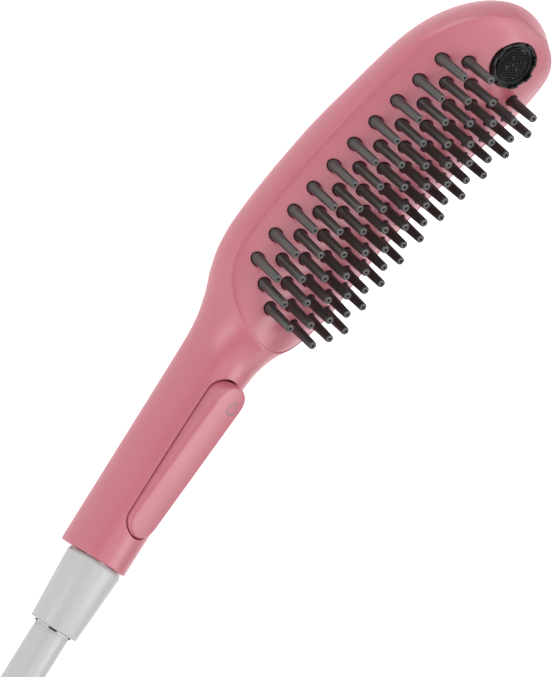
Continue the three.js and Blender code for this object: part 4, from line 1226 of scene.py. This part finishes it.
class SHOWER_OT_nozzles(bpy.types.Operator):
    """Makes the soft mat and its 74 bored nozzles"""

    bl_idname = "shower.nozzles"
    bl_label = "Nozzles"

    def execute(self, context):
        sides = context.scene.shower_sizes.nozzle_sides
        look = "grey_silicone"
        feet = [(x, y, face_height(x, y)) for x, y in nozzle_places()]
        tree = placed_tree("Nozzles on the face", 3)
        nozzle = small_piece("nozzle", NOZZLE_PROFILE, sides, True)
        mat = stand_pieces("nozzle_mat", nozzle, from_head(feet), tree, math.tau, look)
        top = PLATE_WALL + GAP
        sheet = face_layer("sheet", MAT_INSET, top, top + MAT_WALL)
        bores = []
        for x, y, z in feet:
            ring = circle(x, y, NOZZLE_BORE, 16)
            bores.append([[(*p, z - depth) for p in ring] for depth in BORE_CUT])
        hole = rod("aerator hole", *AERATOR_CUT, AERATOR_RADIUS + GAP, 48, upright_at_aerator)
        carve(sheet, [hole, stacks("bores", bores)])
        join(mat, sheet)
        finish_piece(mat, "grip", ["nozzle_mat"], look, 40)
        return {"FINISHED"}


# Aerator


def aerator_frame(points):
    """Points about the aerator's axis, from the top of its ring, in the grip's frame."""
    top = face_height(AERATOR_STATION, 0) + AERATOR_RISE
    return from_head(np.asarray(points, float) + np.array([AERATOR_STATION, 0, top]))


def upright_at_aerator(points):
    return aerator_frame(np.stack([points[:, 1], points[:, 2], points[:, 0]], -1))


class SHOWER_OT_aerator(bpy.types.Operator):
    """Makes the castellated black ring and its insert with a grid of raised pegs"""

    bl_idname = "shower.aerator"
    bl_label = "Aerator"

    def execute(self, context):
        seat = MESH_RADIUS + GAP
        step = seat + RING_STEP
        inner = AERATOR_RADIUS - AERATOR_WALL
        ledge = -AERATOR_SKIRT + AERATOR_LEDGE
        corners = [
            (-AERATOR_SKIRT, seat - AERATOR_LEDGE, 0),
            (-AERATOR_SKIRT, AERATOR_SKIRT_RADIUS, 0.2),
            (-AERATOR_FLANGE, AERATOR_SKIRT_RADIUS, 0.15),
            (-AERATOR_FLANGE, AERATOR_RADIUS, 0.2),
            (0, AERATOR_RADIUS, 0.25),
            (0, inner, 0.2),
            (-RING_GROOVE, inner, 0.1),
            (-RING_GROOVE, step, 0.1),
            (-KEY_DEPTH, step, 0.08),
            (-KEY_DEPTH, seat, 0.08),
            (ledge, seat, 0),
            (ledge, seat - AERATOR_LEDGE, 0),
        ]
        ring = turned("aerator_ring", corners, 4, 128, upright_at_aerator)
        cutters = []
        for i in range(KEY_COUNT):
            turn = (i + 0.5) / KEY_COUNT * math.tau
            points = []
            for out in (AERATOR_RADIUS - KEY_REACH, AERATOR_RADIUS + KEY_REACH):
                for across, z in KEY_SECTION:
                    points.append((*spun(out, across, turn), z))
            cutters.append(mesh_object("key", aerator_frame(points), ring_faces(2, 4)))
        carve(ring, cutters)
        finish_piece(ring, "grip", ["aerator_ring"], "black_plastic", 30)
        self.insert(ledge + GAP)
        return {"FINISHED"}

    def insert(self, foot):
        """Round insert: a lip, a sunk floor and a close grid of small raised pegs."""
        top = -KEY_DEPTH
        lip = MESH_RADIUS - INSERT_LIP
        floor = top - PEG_HEIGHT
        corners = [
            (foot, 0.0, 0),
            (foot, MESH_RADIUS, 0.1),
            (top, MESH_RADIUS, 0.12),
            (top, lip, 0.12),
            (floor, lip, 0.05),
            (floor, 0.0, 0),
        ]
        insert = turned("aerator_mesh", corners, 3, 96, upright_at_aerator)
        shoulder = (PEG_HEIGHT * PEG_SHOULDER, PEG_RADIUS * PEG_TAPER, 0.1)
        corners = [(0.0, PEG_RADIUS, 0), shoulder, (PEG_HEIGHT, 0.0, 0)]
        peg = small_piece("peg", rounded(corners, 2), 6, False)
        places = []
        reach = int(MESH_RADIUS / PEG_PITCH) + 2
        for row in range(-reach, reach + 1):
            for column in range(-reach, reach + 1):
                x = (column + row % 2 / 2) * PEG_PITCH
                y = row * PEG_PITCH * math.sqrt(3) / 2
                pad = min(math.hypot(x - px, y - py) for px, py in INSERT_PADS)
                if math.hypot(x, y) < lip - PEG_RADIUS + PEG_MARGIN and pad >= PAD_RADIUS:
                    places.append((x, y, floor - PEG_SINK))
        tree = placed_tree("Pegs on the insert", 5)
        pegs = stand_pieces("pegs", peg, aerator_frame(places), tree, 0.0, "black_plastic")
        join(insert, pegs)
        finish_piece(insert, "grip", ["aerator_mesh"], "black_plastic", 30)


# Lever


def lever_top(x):
    """Height of the lever's top along its middle."""
    return LEVER_RISE + (x - PIN_STATION) * math.tan(LEVER_SLOPE)


def lever_bar(name, inset, start, end, top, bottom, crown=0.0):
    """Bar in the slot with a rounded top, from its foot up: how far in, how far down, its draft."""
    half = SLOT_HALF_WIDTH - LEVER_SIDE - inset
    rows = [(0.0, bottom, LEVER_FOOT_DRAFT), (0.0, LEVER_ROUND * 1.6, LEVER_SIDE_DRAFT)]
    for t in np.linspace(0, math.pi / 2, 9):
        rows.append((LEVER_ROUND * (1 - math.cos(t)), LEVER_ROUND * (1 - math.sin(t)), 1.0))
    if crown:
        shares = np.linspace(0.12, 0.99, 9)
        rows += [(LEVER_ROUND + (half - LEVER_ROUND) * share, 0.0, 1.0) for share in shares]
    rings = []
    for side, depth, draft in rows:
        outline = stadium(start + side, end - side - LEVER_DRAFT * draft, half - side, 20)
        ring = []
        for x, y in even(outline, LEVER_POINTS):
            ring.append((x, y, lever_top(x) - top - depth - (crown * (y / half) ** 2)))
        rings.append(ring)
    return loft(name, rings)


def even(outline, count):
    """The same outline with a fixed number of points, from its first one on."""
    points = np.array(outline + outline[:1], float)
    steps = np.linalg.norm(np.diff(points, axis=0), axis=1)
    lengths = np.concatenate([[0], np.cumsum(steps)])
    places = np.linspace(0, lengths[-1], count, endpoint=False)
    return list(zip(*(np.interp(places, lengths, column) for column in points.T)))


class SHOWER_OT_lever(bpy.types.Operator):
    """Makes the paddle lever that pauses the water"""

    bl_idname = "shower.lever"
    bl_label = "Pause lever"

    def execute(self, context):
        start, end = SLOT_START + LEVER_HEEL, SLOT_END - LEVER_SIDE
        bar = lever_bar("pause_lever", 0, start, end, 0, LEVER_HEIGHT, LEVER_CROWN)
        start, end = PIN_STATION + HUB_LENGTH / 2, end - LEVER_WALL
        hollow = lever_bar("hollow", LEVER_WALL, start, end, LEVER_ROOF, LEVER_HEIGHT + CUT)
        half = SLOT_HALF_WIDTH + CUT
        bore = rod("bore", -half, half, PIN_RADIUS + GAP, 32, across_at_pin)
        carve(bar, [hollow, bore])
        top = lever_top(VALVE_STATION) - LEVER_ROOF + LEVER_WALL / 2
        foot = STEM_TOP + GAP
        half = SLOT_HALF_WIDTH - LEVER_WALL
        corners = []
        for x in (VALVE_STATION - PRESS_RIB / 2, VALVE_STATION + PRESS_RIB / 2):
            corners += [(x, -half, foot), (x, half, foot), (x, half, top), (x, -half, top)]
        carve(bar, [mesh_object("rib", corners, ring_faces(2, 4))], "UNION")
        finish_piece(bar, "lever", ["pause_lever"], "pink_plastic", 40)
        finish_piece(self.drop_mark(), "lever", [], "print_ink", 40)
        return {"FINISHED"}

    def drop_mark(self):
        """Thin outline of a water drop, printed on the paddle."""
        half = SLOT_HALF_WIDTH - LEVER_SIDE
        turns = np.linspace(0, math.tau, DROP_STEPS, endpoint=False)
        points = []
        for rise, line in ((0.0, 0.0), (DROP_RISE, 0.0), (DROP_RISE, DROP_LINE), (0.0, DROP_LINE)):
            for t in turns:
                tip = line * 0.5 * max(0.0, math.cos(t)) ** 6
                along = (DROP_LENGTH / 2 - line) * math.cos(t) + tip
                full = (DROP_WIDTH / 2 - line) * DROP_FULLNESS
                across = full * math.sin(t) * math.sin(t / 2) ** 1.2
                x, y = DROP_PLACE[0] + along, DROP_PLACE[1] + across
                points.append((x, y, lever_top(x) - LEVER_CROWN * (y / half) ** 2 + rise))
        return mesh_object("drop_mark", points, ring_faces(4, len(turns), closed=True))


# Nut at the grip

# One of the collar's slots faces the camera
COLLAR_TURN = math.atan2(CAMERA_PLACE[2], CAMERA_PLACE[1])


class SHOWER_OT_cone_nut(bpy.types.Operator):
    """Makes the conical nut that draws the hose onto the grip"""

    bl_idname = "shower.cone_nut"
    bl_label = "Conical nut"

    def execute(self, context):
        seat = -THREAD_LENGTH - GAP * 2
        shoulder = -THREAD_LENGTH - GAP - WASHER_THICKNESS - GAP - FERRULE_FLANGE - GAP
        mouth = THREAD_RADIUS + GAP
        corners = [
            (NUT_END, FERRULE_RADIUS + GAP, 0.2),
            (NUT_END, NUT_SMALL_RADIUS, 0.7),
            (-NUT_START - NUT_BEVEL * 2, NUT_BIG_RADIUS, 0.7),
            (-NUT_START, NUT_BIG_RADIUS - NUT_BEVEL, 0.2),
            (-NUT_START, mouth, 0.2),
            (seat, mouth, 0),
            (seat, WASHER_RADIUS + GAP, 0),
            (shoulder, WASHER_RADIUS + GAP, 0),
            (shoulder, FERRULE_RADIUS + GAP, 0),
        ]
        nut = turned("cone_nut", corners, 6, 128)
        finish_piece(nut, "hose_nut", ["cone_nut"], "silver_plastic", 30)
        self.collar()
        return {"FINISHED"}

    def collar(self):
        """Slotted collar round the hose at the nut's small end, and the seal seen in its slots."""
        end = NUT_END - COLLAR_REACH
        neck = NUT_END - COLLAR_GAP
        tail = NUT_END + COLLAR_TAIL
        inside = COLLAR_BORE + COLLAR_WALL
        corners = [
            (end, inside, 0),
            (end, COLLAR_FLANGE, 0.15),
            (neck, COLLAR_FLANGE, 0),
            (neck, COLLAR_RADIUS, 0),
            (tail, COLLAR_RADIUS, 0),
            (tail, inside, 0),
        ]
        collar = turned("hose_collar", corners, 4, 96)
        cutters = []
        for i in range(4):
            turn = math.pi / 2 * i + COLLAR_TURN
            half = (COLLAR_SIDE_SLOT if i % 2 else COLLAR_SLOT) / 2
            low, high = COLLAR_BORE - 1, COLLAR_FLANGE + 1
            points = []
            for x in (end - 1, NUT_END + 0.3):
                for out, across in ((low, -half), (low, half), (high, half), (high, -half)):
                    points.append((x, *spun(out, across, turn)))
            cutters.append(mesh_object("slot", points, ring_faces(2, 4)))
        carve(collar, cutters)
        finish_piece(collar, "grip", [], "white_plastic", 30)
        out, sleeve = COLLAR_FLANGE - SEAL_INSET, COLLAR_BORE + SEAL_WALL
        corners = [
            (end + SEAL_INSET, COLLAR_BORE, 0),
            (end + SEAL_INSET, out, 0),
            (neck - SEAL_INSET, out, 0),
            (neck - SEAL_INSET, sleeve, 0),
            (tail, sleeve, 0),
            (tail, COLLAR_BORE, 0),
        ]
        seal = turned("collar_seal", corners, 2, 96)
        finish_piece(seal, "grip", [], "black_rubber", 30)


# Inner pieces and the far end of the hose

# The CAD nodes that keep their shape, by their finish
INNER_NODES = {
    "white_plastic": "spray_chamber valve_body valve_stem valve_plug gland_nut water_tube",
    "black_rubber": "poppet_seal stem_oring inlet_oring filter_washer tap_washer",
    "bright_steel": "lever_pin inlet_filter",
    "plated_brass": "inlet_connector",
    "silver_plastic": "hose_ferrule tap_ferrule tap_nut",
    "black_plastic": "coil_tie",
}


class SHOWER_OT_inner(bpy.types.Operator):
    """Gives the valve, seals, fittings and pins their finishes"""

    bl_idname = "shower.inner"
    bl_label = "Inner pieces"

    def execute(self, context):
        for look, names in INNER_NODES.items():
            for name in names.split():
                node = bpy.data.objects[name]
                node.data.materials.clear()
                node.data.materials.append(finish(look))
        self.spring()
        return {"FINISHED"}

    def spring(self):
        """The valve's spring, made from a merged copy of its mesh; it is not made to shorten as the
        stem goes down.
        """
        mesh = merge(bpy.data.objects["valve_spring"].data.copy())
        spring = new_object("pressed_spring", mesh)
        finish_piece(spring, "grip", ["valve_spring"], "bright_steel")
        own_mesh(spring)


OPERATORS = (
    SHOWER_OT_stage,
    SHOWER_OT_hose,
    SHOWER_OT_body,
    SHOWER_OT_face,
    SHOWER_OT_nozzles,
    SHOWER_OT_aerator,
    SHOWER_OT_lever,
    SHOWER_OT_cone_nut,
    SHOWER_OT_inner,
)


class SHOWER_PT_pieces(bpy.types.Panel):
    """Lists the shower's pieces, sizes and colours"""

    bl_idname = "SHOWER_PT_pieces"
    bl_label = "Pet hand shower"
    bl_space_type = "VIEW_3D"
    bl_region_type = "UI"
    bl_category = "Hand shower"

    def draw(self, context):
        for settings in (context.scene.shower_sizes, context.scene.shower_looks):
            for name in settings.bl_rna.properties.keys():
                if name not in ("rna_type", "name"):
                    self.layout.prop(settings, name)
        for operator in OPERATORS:
            self.layout.operator(operator.bl_idname)


CLASSES = (ShowerSizes, ShowerLooks, *OPERATORS, SHOWER_PT_pieces)


def register():
    for item in CLASSES:
        bpy.utils.register_class(item)
    bpy.types.Scene.shower_sizes = PointerProperty(type=ShowerSizes)
    bpy.types.Scene.shower_looks = PointerProperty(type=ShowerLooks)


def unregister():
    del bpy.types.Scene.shower_looks
    del bpy.types.Scene.shower_sizes
    for item in reversed(CLASSES):
        bpy.utils.unregister_class(item)


def main():
    register()
    bpy.ops.shower.stage()
    bpy.ops.shower.hose()
    bpy.ops.shower.body()
    bpy.ops.shower.face()
    bpy.ops.shower.nozzles()
    bpy.ops.shower.aerator()
    bpy.ops.shower.lever()
    bpy.ops.shower.cone_nut()
    bpy.ops.shower.inner()


if __name__ == "__main__":
    main()
